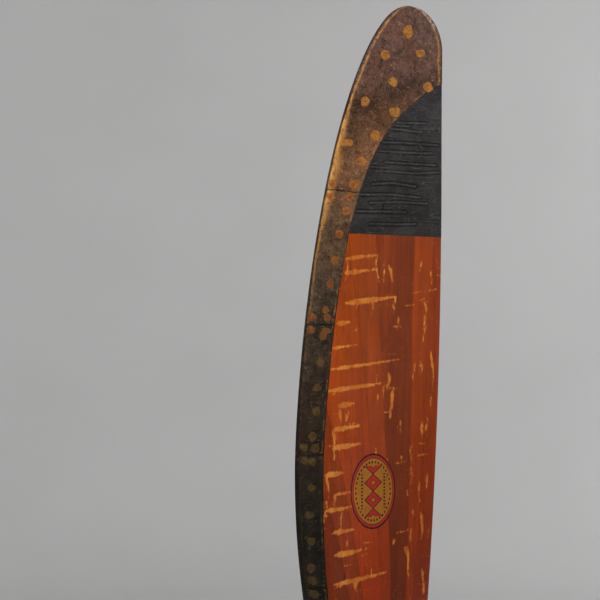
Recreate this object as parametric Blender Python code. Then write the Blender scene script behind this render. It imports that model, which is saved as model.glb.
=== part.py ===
"""A two-blade wooden aeroplane propeller with its steel hub.

The shaft lies along Y and the propeller's front faces -Y. Blade a points up +Z and blade b is blade a
turned half a turn about the shaft. The origin is on the shaft's axis, in the middle of the wooden block.
"""

import math

import bmesh
import bpy
from mathutils import Matrix, Vector

# Driving dimensions, in metres.
TIP_RADIUS = 1.016
PITCH = 1.17
STEEPEST_ANGLE = math.radians(44)
THICK_BOARD = 0.0155
THIN_BOARD = 0.0085
BOARD_COUNT = 9
CLEARANCE = 0.0003

# The blade's outline, seen from the front. The leading edge bows out from the tip to its widest place. The
# trailing edge runs nearly straight behind a rounded corner, and both ease into the root. Lengths that say
# "at" or "from" are distances from the tip.
TIP_X = 0.044
TIP_SHOULDER = 0.040  # x where the leading edge's bow starts, inside the tip's small rounding
TIP_ROUND_LENGTH = 0.010
LEADING_REACH = -0.079
LEADING_WIDEST_AT = 0.500
LEADING_BOW_POWER = 0.6
LEADING_BOW_FULLNESS = 1.5
LEADING_EASING = 1.2
TRAILING_REACH = 0.0814
TRAILING_CORNER = 0.050
TRAILING_BOW_FROM = 0.200
TRAILING_BOW = 0.07
TRAILING_EASES_FROM = 0.650
ROOT_AT = 0.866
ROOT_HALF_WIDTH = 0.040

# The blade's depth: distance from the tip, thickness, and the y of the chord's middle.
BLADE_DEPTH = (
    (0.000, 0.0068, 0.0080),
    (0.060, 0.0086, 0.0080),
    (0.120, 0.0100, 0.0075),
    (0.210, 0.0120, 0.0065),
    (0.320, 0.0148, 0.0050),
    (0.420, 0.0182, 0.0030),
    (0.500, 0.0216, 0.0015),
    (0.580, 0.0260, 0.0010),
    (0.650, 0.0310, 0.0035),
    (0.716, 0.0350, 0.0080),
    (0.766, 0.0395, 0.0105),
    (0.816, 0.0450, 0.0105),
    (0.866, 0.0520, 0.0105),
    (0.986, 0.0520, 0.0105),
)
NOSE_RISE = 0.3  # height of the leading edge above the flat back, as a share of the thickness
NOSE_LENGTH = 0.2  # how far back the rounding under the nose runs, as a share of the chord
DEEPEST_AT = 0.3  # share of the chord where the section is thickest
TRAILING_THICKNESS = 0.003
CAMBER = ((2.969, 0.5), (-1.26, 1), (-3.516, 2), (2.843, 3), (-1.015, 4))  # terms: factor and power
LEAST_WALL = 0.0005

# The neck, where the blade grows into the block: radius, half width, half thickness.
NECK = (
    (0.030, 0.060, 0.0540),
    (0.060, 0.060, 0.0545),
    (0.080, 0.054, 0.0545),
    (0.110, 0.046, 0.0520),
    (0.150, 0.042, 0.0480),
    (0.200, 0.042, 0.0440),
)
NECK_SQUARENESS = 5
NECK_SIDE = 0.97  # share of the half width where the block's sides begin
NECK_ROWS = (0.200, 0.160, 0.125, 0.098, 0.075, 0.030)
NECK_ENDS_AT = 0.200
NECK_FULL_AT = 0.075

# Metal sheath and doped fabric on the outer blade. Depths are below the blade's surface.
SHEATH_THICKNESS = 0.0008
FABRIC_THICKNESS = 0.0005
FABRIC_DEPTH = SHEATH_THICKNESS + CLEARANCE
WOOD_UNDER_SHEATH = FABRIC_DEPTH
WOOD_UNDER_FABRIC = FABRIC_DEPTH + FABRIC_THICKNESS + CLEARANCE
SHEATH_WIDTH = 0.034
SHEATH_NARROWING = 1.25  # times the blade's lean, which grows towards the hub
SHEATH_LEAST_WIDTH = 0.010
SHEATH_FLARE = 0.065
SHEATH_FLARE_LENGTH = 0.047
SHEATH_WRAPS_UNTIL = 0.083  # the tip's sheath covers the whole blade as far as this from the tip
SHEATH_SEAMS = (0.203, 0.3465, 0.485, 0.624)
SHEATH_ENDS_AT = 0.716
SAW_CUT = 0.0012
FABRIC_ENDS_AT = 0.250
TIP_ROWS = (0.004, 0.012, 0.032, SHEATH_WRAPS_UNTIL, 0.096, 0.118, 0.155)
INNER_ROWS = (0.415, 0.555)
BARE_ROW = 0.766  # between the sheath's inner end and the neck
LAYERS_OVERLAP = 0.02  # how far the wood under the fabric runs on inside the bare wood
OUTER_END = 0.0008  # the outermost station, just inside the tip

# Rivets through the tip: distance from the tip and x, on blade a.
RIVET_PLACES = ((0.028, 0.043), (0.052, 0.0575), (0.055, 0.0185), (0.084, 0.027), (0.106, -0.0035))
RIVET_HEAD_RADIUS = 0.0052
RIVET_SHANK_RADIUS = 0.0022
RIVET_HEAD_THICKNESS = 0.0007
RIVETS_REACH = 0.03  # no rivet passes a board that lies further than this from the block's middle
HOLE_ROOM = 0.0004

# Hub block and steel hub. Lengths along the shaft are Y positions.
BLOCK_HALF = (BOARD_COUNT // 2 + 1) * THICK_BOARD / 2 + (BOARD_COUNT // 2) * THIN_BOARD / 2
BLOCK_RADIUS = 0.0889
FLANGE_RADIUS = 0.0825
FLANGE_THICKNESS = 0.007
REAR_FLANGE_THICKNESS = 0.008
FLANGE_BORE = 0.0355
FLANGE_COLLAR = (0.047, 0.045, 0.008)  # radius at the flange and at its front end, and height
EDGE_BREAK = 0.001
BARREL_RADIUS = 0.035
BARREL_FRONT = -0.078
REAR_END = 0.084
REAR_END_RADIUS = 0.038
REAR_SHOULDER = (0.045, 0.006)  # radius at the rear flange, and length
TAPER_REAR_RADIUS = 0.0215
TAPER_FRONT_RADIUS = 0.0175
COUNTERBORE_RADIUS = 0.029
COUNTERBORE_FLOOR = -0.0496
RING_GROOVE = (-0.0708, -0.0682)
RING_GROOVE_RADIUS = 0.0312
KEYWAY_WIDTH = 0.008
KEYWAY_TOP = 0.0225
KEYWAY_FRONT = -0.0296
BOLT_COUNT = 8
BOLT_CIRCLE_RADIUS = 0.0667
BOLT_RADIUS = 0.00555
BOLT_HOLE_RADIUS = 0.00605
BOARD_HOLE_RADIUS = 0.00615
HEX_RADIUS = 0.0101
BOLT_HEAD_HEIGHT = 0.007
NUT_HEIGHT = 0.011
SLOT_DEPTH = 0.0036
SLOT_WIDTH = 0.003
BOLT_STANDS_PROUD = 0.0022
PIN_RADIUS = 0.001
PIN_EYE_RADIUS = 0.0021
PIN_EYE_X = 0.0136
PIN_LEG_X = -0.0118
PIN_LEG_LENGTH = 0.0065
PIN_BEND = 0.0012
PIN_EYE_START = math.radians(150)
PIN_EYE_STEP = math.radians(56)
PIN_EYE_STEPS = 6
SHAFT_NUT_RADIUS = 0.0238
SHAFT_NUT_FRONT = -0.104
SHAFT_NUT_BORE = 0.0165
SPANNER_FLATS_START = -0.084
SPANNER_FLATS_AT = 0.0211
SNAP_RING_INSIDE = 0.0244
SNAP_RING_TURN = math.radians(335)
SNAP_RING_STEPS = 22
PAST = 0.01  # how far a cutter runs past what it cuts
DRILL_HALF_LENGTH = 0.1
ROUND_SIDES = 16
SMALL_SIDES = 8
HEX_SIDES = 6
SAME_PLACE = 1e-6
FLAT_SHARE = math.cos(math.pi / ROUND_SIDES)  # a round hole's flats lie this share of its radius out

# Shares of each surface's width where the blade's columns stand.
OPEN_COLUMNS = (1.0, 0.75, 0.4, 0.0)
COVERED_COLUMNS = (1.0, 0.5, 0.12)
FIRST_COVERED = len(OPEN_COLUMNS)
COLUMN_COUNT = 2 * (len(OPEN_COLUMNS) + len(COVERED_COLUMNS)) + 1

FRONT, NOSE, BACK = 1, 0, -1


def clear_scene():
    for obj in list(bpy.data.objects):
        bpy.data.objects.remove(obj, do_unlink=True)


def make_material(name, colour, roughness, metallic):
    material = bpy.data.materials.new(name)
    material.use_nodes = True
    shader = material.node_tree.nodes["Principled BSDF"]
    shader.inputs["Base Color"].default_value = (*colour, 1.0)
    shader.inputs["Roughness"].default_value = roughness
    shader.inputs["Metallic"].default_value = metallic
    return material


def add_object(name, mesh, material=None, parent=None):
    obj = bpy.data.objects.new(name, mesh)
    bpy.context.scene.collection.objects.link(obj)
    if material and not mesh.materials:
        mesh.materials.append(material)
    obj.parent = parent
    return obj


def add_cutter(name, mesh):
    cutter = add_object(name, mesh)
    cutter.hide_render = True
    cutter.display_type = "WIRE"
    return cutter


def boolean(obj, operation, other):
    modifier = obj.modifiers.new(operation.lower(), "BOOLEAN")
    modifier.operation = operation
    modifier.solver = "EXACT"
    modifier.object = other


def finished_mesh(name, obj):
    """The object's mesh with its modifiers applied, as a mesh of its own. The object itself is removed."""
    bpy.context.view_layer.update()
    evaluated = obj.evaluated_get(bpy.context.evaluated_depsgraph_get())
    mesh = bpy.data.meshes.new_from_object(evaluated)
    mesh.name = name
    mesh.materials.clear()
    bpy.data.objects.remove(obj, do_unlink=True)
    return mesh


def mesh_from_bmesh(name, bm):
    bmesh.ops.remove_doubles(bm, verts=bm.verts, dist=1e-7)
    bmesh.ops.dissolve_degenerate(bm, edges=bm.edges, dist=1e-7)
    bmesh.ops.recalc_face_normals(bm, faces=bm.faces)
    if bm.calc_volume(signed=True) < 0:
        bmesh.ops.reverse_faces(bm, faces=bm.faces)
    mesh = bpy.data.meshes.new(name)
    bm.to_mesh(mesh)
    bm.free()
    return mesh


def interpolate(rows, position):
    """The other columns of a table at this position in its first column, on curves with no overshoot."""
    places = [row[0] for row in rows]
    position = min(max(position, places[0]), places[-1])
    index = max(i for i in range(len(places) - 1) if places[i] <= position)
    width = places[index + 1] - places[index]
    t = (position - places[index]) / width
    values = []
    for column in range(1, len(rows[0])):
        rises = [
            (rows[i + 1][column] - rows[i][column]) / (places[i + 1] - places[i])
            for i in range(len(rows) - 1)
        ]

        def slope(i):
            if i in (0, len(rows) - 1):
                return rises[min(i, len(rises) - 1)]
            before, after = rises[i - 1], rises[i]
            return 0.0 if before * after <= 0 else 2 * before * after / (before + after)

        start, end = rows[index][column], rows[index + 1][column]
        values.append(
            start * (2 * t**3 - 3 * t**2 + 1)
            + slope(index) * width * (t**3 - 2 * t**2 + t)
            + end * (3 * t**2 - 2 * t**3)
            + slope(index + 1) * width * (t**3 - t**2)
        )
    return values


# The plan against the square root of the distance, which rounds the tip.
ROUNDED_DEPTH = tuple((math.sqrt(row[0]), *row[1:]) for row in BLADE_DEPTH)


def quarter_round(share):
    """How far a quarter of an ellipse has risen at this share of its length."""
    return math.sqrt(1 - (1 - min(max(share, 0.0), 1.0)) ** 2)


def ease(share):
    share = min(max(share, 0.0), 1.0)
    return share * share * (3 - 2 * share)


def outline(from_tip):
    """The x of the leading and of the trailing edge."""
    share = min(from_tip / LEADING_WIDEST_AT, 1.0)
    bow = (1 - share**LEADING_BOW_POWER) ** LEADING_BOW_FULLNESS
    leading = LEADING_REACH + (TIP_SHOULDER - LEADING_REACH) * bow
    leading += (TIP_X - TIP_SHOULDER) * (1 - quarter_round(from_tip / TIP_ROUND_LENGTH))
    past = max(from_tip - LEADING_WIDEST_AT, 0.0) / (ROOT_AT - LEADING_WIDEST_AT)
    leading -= (ROOT_HALF_WIDTH + leading) * ease(past**LEADING_EASING)
    trailing = TIP_X + (TRAILING_REACH - TIP_X) * quarter_round(from_tip / TRAILING_CORNER)
    trailing -= TRAILING_BOW * max(from_tip - TRAILING_BOW_FROM, 0.0) ** 2
    past = (from_tip - TRAILING_EASES_FROM) / (ROOT_AT - TRAILING_EASES_FROM)
    trailing += (ROOT_HALF_WIDTH - trailing) * ease(past)
    return leading, trailing


class Section:
    """The blade's cross-section at one distance from the tip. Shares of the chord run from the nose."""

    def __init__(self, from_tip):
        self.z = TIP_RADIUS - from_tip
        self.leading, self.trailing = outline(from_tip)
        self.thickness, self.middle_y = interpolate(ROUNDED_DEPTH, math.sqrt(from_tip))
        self.angle = min(math.atan2(PITCH, 2 * math.pi * self.z), STEEPEST_ANGLE)
        nose_height = NOSE_RISE * self.thickness
        self.run = self.trailing - self.leading + nose_height * math.sin(self.angle)
        self.chord = self.run / math.cos(self.angle)
        width = SHEATH_WIDTH - SHEATH_NARROWING * self.thickness * math.sin(self.angle)
        width = max(SHEATH_LEAST_WIDTH, width)
        width += SHEATH_FLARE * math.exp((SHEATH_WRAPS_UNTIL - from_tip) / SHEATH_FLARE_LENGTH)
        self.sheath_share = min(1.0, width / (self.trailing - self.leading))

    def front_height(self, share):
        """Height of the cambered front above the flat back."""
        camber = sum(factor * share**power for factor, power in CAMBER)
        nose = NOSE_RISE * (1 - share) ** 2
        rise = nose + (1 - NOSE_RISE * (1 - DEEPEST_AT) ** 2) * camber
        return self.thickness * rise + TRAILING_THICKNESS * share

    def back_height(self, share):
        if share >= NOSE_LENGTH:
            return 0.0
        return NOSE_RISE * self.thickness * (1 - math.sqrt(1 - (1 - share / NOSE_LENGTH) ** 2))

    def limits(self, depth):
        """The first and last share of the chord with room for a layer this deep on both faces."""
        if depth == 0:
            return 0.0, 1.0
        least = 2 * depth + LEAST_WALL

        def solve(thin, thick):
            for _ in range(30):
                middle = (thin + thick) / 2
                if self.front_height(middle) - self.back_height(middle) < least:
                    thin = middle
                else:
                    thick = middle
            return thick

        return solve(0.0, DEEPEST_AT), min(solve(1.0, DEEPEST_AT), 1 - depth / self.chord)

    def place(self, share, height):
        """The point this high above the chord line, in the propeller's frame."""
        nose_height = NOSE_RISE * self.thickness
        x = self.leading + share * self.run + (height - nose_height) * math.sin(self.angle)
        y = self.middle_y + (share - 0.5) * self.chord * math.sin(self.angle)
        return Vector((x, y - height * math.cos(self.angle), self.z))

    def point(self, share, side, depth):
        first, last = self.limits(depth)
        share = first + share * (last - first)
        if side == FRONT:
            return self.place(share, self.front_height(share) - depth)
        return self.place(share, self.back_height(share) + depth)

    def nose(self, depth):
        share = self.limits(depth)[0]
        return self.place(share, (self.front_height(share) + self.back_height(share)) / 2)


def columns(edge):
    """Each column round a section, as its share of the chord, its side and whether the sheath covers it:
    the trailing edge, the front, the nose and the back. edge is where the sheath's edge lies."""
    half = [(edge + (1 - edge) * share, False) for share in OPEN_COLUMNS]
    half += [(edge * share, True) for share in COVERED_COLUMNS]
    front = [(share, FRONT, covered) for share, covered in half]
    back = [(share, BACK, covered) for share, covered in half]
    return [*front, (0.0, NOSE, True), *back[::-1]]


def blade_ring(from_tip, open_depth, covered_depth, edge_room=0.0):
    """The points round one section, with its open and its covered surface at their own depths."""
    section = Section(from_tip)
    edge = min(1.0, section.sheath_share + edge_room / section.run)
    return [
        section.nose(covered_depth)
        if side == NOSE
        else section.point(share, side, covered_depth if covered else open_depth)
        for share, side, covered in columns(edge)
    ]


def neck_ring(radius):
    """The blade's root: its own section, turned step by step into a rounded block."""
    section = Section(TIP_RADIUS - radius)
    half_width, half_thickness = interpolate(NECK, radius)
    t = min(1.0, max(0.0, (NECK_ENDS_AT - radius) / (NECK_ENDS_AT - NECK_FULL_AT)))
    weight = t * t * (3 - 2 * t)
    ring = blade_ring(TIP_RADIUS - radius, 0.0, 0.0)
    points = []
    for point, (share, side, _) in zip(ring, columns(section.sheath_share)):
        across = min(NECK_SIDE, 2 * share - 1)
        height = half_thickness * (1 - abs(across) ** NECK_SQUARENESS) ** (1 / NECK_SQUARENESS)
        points.append(point.lerp(Vector((half_width * across, -side * height, section.z)), weight))
    return points


def split_cell(bm, a, b, c, d):
    """Two triangles over one cell of a net. Every layer splits its cells this way, so that none cross."""
    for corners in ((a, b, c), (a, c, d)):
        bm.faces.new(corners)


def loft_mesh(name, rings):
    """A closed solid through rings of the same number of points."""
    bm = bmesh.new()
    rows = [[bm.verts.new(point) for point in ring] for ring in rings]
    count = len(rings[0])
    for row, after in zip(rows, rows[1:]):
        for j in range(count):
            k = (j + 1) % count
            split_cell(bm, row[j], row[k], after[k], after[j])
    bm.faces.new(rows[0])
    bm.faces.new(rows[-1][::-1])
    return mesh_from_bmesh(name, bm)


def shell_mesh(name, outer, inner, covered, capped):
    """A thin closed solid between two nets of points, over the cells that covered(row, column) names.
    capped closes it over its first row, as at the tip."""
    bm = bmesh.new()
    nets = [[[bm.verts.new(point) for point in ring] for ring in net] for net in (outer, inner)]
    count = len(outer[0])
    cells = {(i, j) for i in range(len(outer) - 1) for j in range(count) if covered(i, j)}
    for i, j in cells:
        k = (j + 1) % count
        for net in nets:
            split_cell(bm, net[i][j], net[i][k], net[i + 1][k], net[i + 1][j])
        sides = (
            ((i, (j - 1) % count), (i, j), (i + 1, j)),
            ((i, k), (i, k), (i + 1, k)),
            ((i - 1, j), (i, j), (i, k)),
            ((i + 1, j), (i + 1, j), (i + 1, k)),
        )
        for neighbour, (a, b), (c, d) in sides:
            if neighbour in cells or (capped and neighbour[0] < 0):
                continue
            split_cell(bm, nets[0][a][b], nets[0][c][d], nets[1][c][d], nets[1][a][b])
    if capped:
        for net in nets:
            bm.faces.new(net[0])
    return mesh_from_bmesh(name, bm)


def rows_between(low, high):
    """The stations shared by every layer, so that their facets lie parallel."""
    shared = (*TIP_ROWS, *SHEATH_SEAMS, FABRIC_ENDS_AT, *INNER_ROWS)
    return sorted(row for row in shared if low + SAME_PLACE < row < high - SAME_PLACE)


def wooden_blade_meshes():
    """One bare blade as two solids that overlap: the part under the fabric, and from there to the hub."""
    deep, shallow = WOOD_UNDER_FABRIC, WOOD_UNDER_SHEATH
    outer_end, joined_at = OUTER_END + deep, FABRIC_ENDS_AT + LAYERS_OVERLAP
    rows = [outer_end, *rows_between(outer_end, FABRIC_ENDS_AT), joined_at]
    outer = loft_mesh("outer_blade", [blade_ring(row, deep, deep) for row in rows])
    sheathed = [FABRIC_ENDS_AT, *rows_between(FABRIC_ENDS_AT, SHEATH_ENDS_AT), SHEATH_ENDS_AT]
    rings = [blade_ring(row, 0.0, shallow, CLEARANCE) for row in sheathed]
    rings += [blade_ring(row, 0.0, 0.0, CLEARANCE) for row in (SHEATH_ENDS_AT, BARE_ROW)]
    rings += [neck_ring(radius) for radius in NECK_ROWS]
    return outer, loft_mesh("inner_blade", rings)


def cylinder(bm, radius, low, high, sides, x=0.0, z=0.0):
    """A closed cylinder along Y."""
    matrix = Matrix.Translation((x, (low + high) / 2, z)) @ Matrix.Rotation(math.pi / 2, 4, "X")
    bmesh.ops.create_cone(
        bm, cap_ends=True, segments=sides, radius1=radius, radius2=radius, depth=high - low, matrix=matrix
    )


def box(bm, low, high):
    size = [b - a for a, b in zip(low, high)]
    middle = [(a + b) / 2 for a, b in zip(low, high)]
    bmesh.ops.create_cube(bm, size=1.0, matrix=Matrix.Translation(middle) @ Matrix.Diagonal((*size, 1.0)))


def turned_mesh(name, profile, sides, turn=2 * math.pi):
    """A profile of (radius, y) points turned about the Y axis, through a whole turn unless turn is less."""
    bm = bmesh.new()
    verts = [bm.verts.new((radius, y, 0.0)) for radius, y in profile]
    edges = [bm.edges.new((a, b)) for a, b in zip(verts, verts[1:] + verts[:1])]
    whole = turn == 2 * math.pi
    faces = [] if whole else [bm.faces.new(verts)]
    bmesh.ops.spin(
        bm, geom=[*verts, *edges, *faces], axis=(0, 1, 0), angle=turn, steps=sides, use_merge=whole
    )
    return mesh_from_bmesh(name, bm)


def bolt_places():
    for index in range(BOLT_COUNT):
        angle = 2 * math.pi * (index + 0.5) / BOLT_COUNT
        yield index + 1, angle, BOLT_CIRCLE_RADIUS * math.cos(angle), BOLT_CIRCLE_RADIUS * math.sin(angle)


def drill_mesh(name, bolt_hole_radius, bore_radius):
    """The bolt holes, and the bore where bore_radius isn't None, as one cutter."""
    bm = bmesh.new()
    half_length = DRILL_HALF_LENGTH
    for _, _, x, z in bolt_places():
        cylinder(bm, bolt_hole_radius, -half_length, half_length, SMALL_SIDES, x, z)
    if bore_radius:
        cylinder(bm, bore_radius, -half_length, half_length, ROUND_SIDES)
    return mesh_from_bmesh(name, bm)


def rivet_frames():
    """For each rivet of blade a: its matrix, with +Y out of the front face, and its back and front heights."""
    for from_tip, x in RIVET_PLACES:
        section = Section(from_tip)
        share = (x - section.leading) / section.run
        out = Vector((math.sin(section.angle), -math.cos(section.angle), 0.0))
        up = Vector((0.0, 0.0, 1.0))
        turned = Matrix((out.cross(up), out, up)).transposed().to_4x4()
        place = Matrix.Translation(section.place(share, 0.0))
        yield place @ turned, section.back_height(share), section.front_height(share)


def rivet_drill_mesh(name, radius, end_matrix):
    bm = bmesh.new()
    for matrix, back, front in rivet_frames():
        before = set(bm.verts)
        cylinder(bm, radius, back - 2 * PAST, front + 2 * PAST, SMALL_SIDES)
        bmesh.ops.transform(bm, matrix=end_matrix @ matrix, verts=[v for v in bm.verts if v not in before])
    return mesh_from_bmesh(name, bm)


def rivet_mesh(name, matrix, back, front):
    """One rivet with a flush head on each face."""
    head, shank, thick = RIVET_HEAD_RADIUS, RIVET_SHANK_RADIUS, RIVET_HEAD_THICKNESS
    bm = bmesh.new()
    outline = ((head, front), (head, front - thick), (shank, front - thick))
    outline += ((shank, back + thick), (head, back + thick), (head, back))
    rings = []
    for radius, y in outline:
        angles = [2 * math.pi * i / SMALL_SIDES for i in range(SMALL_SIDES)]
        rings.append([bm.verts.new((radius * math.cos(a), y, radius * math.sin(a))) for a in angles])
    for ring, after in zip(rings, rings[1:]):
        for i in range(SMALL_SIDES):
            k = (i + 1) % SMALL_SIDES
            bm.faces.new((ring[i], ring[k], after[k], after[i]))
    bm.faces.new(rings[0])
    bm.faces.new(rings[-1])
    bmesh.ops.transform(bm, matrix=matrix, verts=bm.verts)
    return mesh_from_bmesh(name, bm)


def board_limits():
    """The front and rear Y of each board, from the front. Thick and thin boards alternate."""
    y = -BLOCK_HALF
    for index in range(BOARD_COUNT):
        thickness = THIN_BOARD if index % 2 else THICK_BOARD
        yield index, y + (CLEARANCE / 2 if index else 0), y + thickness - (
            CLEARANCE / 2 if index < BOARD_COUNT - 1 else 0
        )
        y += thickness


def sawn_board(name, block, low, high):
    """The slice of the block between two planes across the shaft."""
    bm = bmesh.new()
    bm.from_mesh(block)
    for y, way in ((low, -1), (high, 1)):
        if abs(y) > BLOCK_HALF - SAME_PLACE:
            continue
        bmesh.ops.bisect_plane(
            bm,
            geom=[*bm.verts, *bm.edges, *bm.faces],
            plane_co=(0, y, 0),
            plane_no=(0, way, 0),
            clear_outer=True,
        )
        bmesh.ops.holes_fill(bm, edges=[edge for edge in bm.edges if edge.is_boundary], sides=0)
    return mesh_from_bmesh(name, bm)


def add_boards(materials, parent, half_turn):
    """The glued block: two bare blades and the round boss, sawn into its boards and drilled."""
    meshes = wooden_blade_meshes()
    bm = bmesh.new()
    cylinder(bm, BLOCK_RADIUS, -BLOCK_HALF, BLOCK_HALF, 2 * ROUND_SIDES)
    block = add_object("block", mesh_from_bmesh("boss", bm))
    for letter, matrix in (("a", Matrix()), ("b", half_turn)):
        for mesh in meshes:
            blade = add_cutter(f"{mesh.name}_{letter}", mesh)
            blade.matrix_world = matrix
            boolean(block, "UNION", blade)
    whole = finished_mesh("whole_block", block)
    drills = [add_cutter("hub_drill", drill_mesh("hub_drill", BOARD_HOLE_RADIUS, FLANGE_BORE))]
    rivet_room = RIVET_SHANK_RADIUS + HOLE_ROOM
    for name, matrix in (("rivet_drill_a", Matrix()), ("rivet_drill_b", half_turn)):
        drills.append(add_cutter(name, rivet_drill_mesh(name, rivet_room, matrix)))
    for index, low, high in board_limits():
        name = f"board_{index + 1}"
        material = materials["light wood" if index % 2 else "dark wood"]
        board = add_object(name, sawn_board(name, whole, low, high), material, parent)
        crosses_rivets = min(abs(low), abs(high)) < RIVETS_REACH
        for drill in drills if crosses_rivets else drills[:1]:
            boolean(board, "DIFFERENCE", drill)


def sheath_rows(first, last, depth, capped):
    rows = [first, *rows_between(first, last), last]
    if capped:
        rows[0] = first + depth
    return [blade_ring(row, depth, depth) for row in rows]


def add_tip_covers(materials, parents, half_turn):
    """The doped fabric and the metal sheath of both blades, in sections parted by saw cuts."""
    inner_fabric = FABRIC_DEPTH + FABRIC_THICKNESS
    fabric_end = FABRIC_ENDS_AT - CLEARANCE
    fabric = shell_mesh(
        "tip_fabric",
        sheath_rows(OUTER_END, fabric_end, FABRIC_DEPTH, True),
        sheath_rows(OUTER_END, fabric_end, inner_fabric, True),
        lambda row, column: True,
        True,
    )
    ends = [OUTER_END, *SHEATH_SEAMS, SHEATH_ENDS_AT - CLEARANCE]
    wrapped_rows = 1 + sum(row < SHEATH_WRAPS_UNTIL for row in TIP_ROWS)
    last_covered = COLUMN_COUNT - FIRST_COVERED - 1
    sheaths = []
    for index, (start, end) in enumerate(zip(ends, ends[1:])):
        tip = index == 0
        first = start if tip else start + SAW_CUT / 2
        last = end if index == len(ends) - 2 else end - SAW_CUT / 2
        whole_rows = wrapped_rows if tip else 0
        sheaths.append(
            shell_mesh(
                f"sheath_{index + 1}",
                sheath_rows(first, last, 0.0, tip),
                sheath_rows(first, last, SHEATH_THICKNESS, tip),
                lambda row, column, whole=whole_rows: row < whole or FIRST_COVERED <= column < last_covered,
                tip,
            )
        )
    wide = RIVET_HEAD_RADIUS + HOLE_ROOM
    for letter, parent, matrix in (("a", parents[0], Matrix()), ("b", parents[1], half_turn)):
        drill = add_cutter(f"head_drill_{letter}", rivet_drill_mesh("head_drill", wide, matrix))
        cover = add_object(f"tip_fabric_{letter}", fabric, materials["black fabric"], parent)
        boolean(cover, "DIFFERENCE", drill)
        for index, mesh in enumerate(sheaths):
            name = f"tip_sheath_{letter}" if index == 0 else f"edge_sheath_{letter}{index}"
            sheath = add_object(name, mesh, materials["brass"], parent)
            if index == 0:
                boolean(sheath, "DIFFERENCE", drill)
        for number, (frame, back, front) in enumerate(rivet_frames()):
            name = f"tip_rivet_{letter}{number + 1}"
            add_object(name, rivet_mesh(name, frame, back, front), materials["solder"], parent)


def add_rear_hub(materials, parent):
    """The barrel that carries the propeller on the shaft's taper, in one piece with its rear flange."""
    near = BLOCK_HALF + CLEARANCE
    far = near + REAR_FLANGE_THICKNESS
    shoulder_radius, shoulder_length = REAR_SHOULDER
    profile = (
        (BARREL_RADIUS, BARREL_FRONT + EDGE_BREAK),
        (BARREL_RADIUS, near),
        (FLANGE_RADIUS, near),
        (FLANGE_RADIUS, far),
        (shoulder_radius, far),
        (REAR_END_RADIUS, far + shoulder_length),
        (REAR_END_RADIUS, REAR_END),
        (TAPER_REAR_RADIUS, REAR_END),
        (TAPER_FRONT_RADIUS, COUNTERBORE_FLOOR),
        (COUNTERBORE_RADIUS, COUNTERBORE_FLOOR),
        (COUNTERBORE_RADIUS, RING_GROOVE[1]),
        (RING_GROOVE_RADIUS, RING_GROOVE[1]),
        (RING_GROOVE_RADIUS, RING_GROOVE[0]),
        (COUNTERBORE_RADIUS, RING_GROOVE[0]),
        (COUNTERBORE_RADIUS, BARREL_FRONT),
        (BARREL_RADIUS - EDGE_BREAK, BARREL_FRONT),
    )
    hub = add_object("rear_hub", turned_mesh("rear_hub", profile, ROUND_SIDES), materials["steel"], parent)
    bm = bmesh.new()
    half = KEYWAY_WIDTH / 2
    box(bm, (-half, KEYWAY_FRONT, TAPER_FRONT_RADIUS - PAST), (half, REAR_END + PAST, KEYWAY_TOP))
    for _, _, x, z in bolt_places():
        cylinder(bm, BOLT_HOLE_RADIUS, near - PAST, far + PAST, SMALL_SIDES, x, z)
    boolean(hub, "DIFFERENCE", add_cutter("hub_cutter", mesh_from_bmesh("hub_cutter", bm)))


def add_front_flange(materials, parent):
    near = -BLOCK_HALF - CLEARANCE
    far = near - FLANGE_THICKNESS
    collar_base, collar_end, collar_height = FLANGE_COLLAR
    profile = (
        (FLANGE_BORE, near),
        (FLANGE_RADIUS, near),
        (FLANGE_RADIUS, far + EDGE_BREAK),
        (FLANGE_RADIUS - EDGE_BREAK, far),
        (collar_base, far),
        (collar_end, far - collar_height),
        (FLANGE_BORE, far - collar_height),
    )
    flange = add_object(
        "front_flange", turned_mesh("front_flange", profile, ROUND_SIDES), materials["steel"], parent
    )
    drill = add_cutter("flange_drill", drill_mesh("flange_drill", BOLT_HOLE_RADIUS, None))
    boolean(flange, "DIFFERENCE", drill)


def bolt_mesh():
    """A hub bolt along Y with its head at the rear and a cross hole for its pin at the front."""
    head_face = BLOCK_HALF + 2 * CLEARANCE + REAR_FLANGE_THICKNESS
    nut_face = -BLOCK_HALF - 2 * CLEARANCE - FLANGE_THICKNESS
    bm = bmesh.new()
    cylinder(bm, HEX_RADIUS, head_face, head_face + BOLT_HEAD_HEIGHT, HEX_SIDES)
    bolt = add_object("bolt", mesh_from_bmesh("bolt_head", bm))
    bm = bmesh.new()
    end = nut_face - NUT_HEIGHT - BOLT_STANDS_PROUD
    cylinder(bm, BOLT_RADIUS, end, head_face + BOLT_HEAD_HEIGHT / 2, SMALL_SIDES)
    shank = add_cutter("bolt_shank", mesh_from_bmesh("bolt_shank", bm))
    bm = bmesh.new()
    cylinder(bm, PIN_RADIUS + HOLE_ROOM, -PAST, PAST, HEX_SIDES)
    bmesh.ops.rotate(bm, verts=bm.verts, matrix=Matrix.Rotation(math.pi / 2, 3, "Z"))
    bmesh.ops.translate(bm, verts=bm.verts, vec=(0, nut_face - NUT_HEIGHT + SLOT_DEPTH / 2, 0))
    hole = add_cutter("bolt_cross_hole", mesh_from_bmesh("bolt_cross_hole", bm))
    boolean(bolt, "UNION", shank)
    boolean(bolt, "DIFFERENCE", hole)
    return finished_mesh("hub_bolt", bolt)


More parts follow.
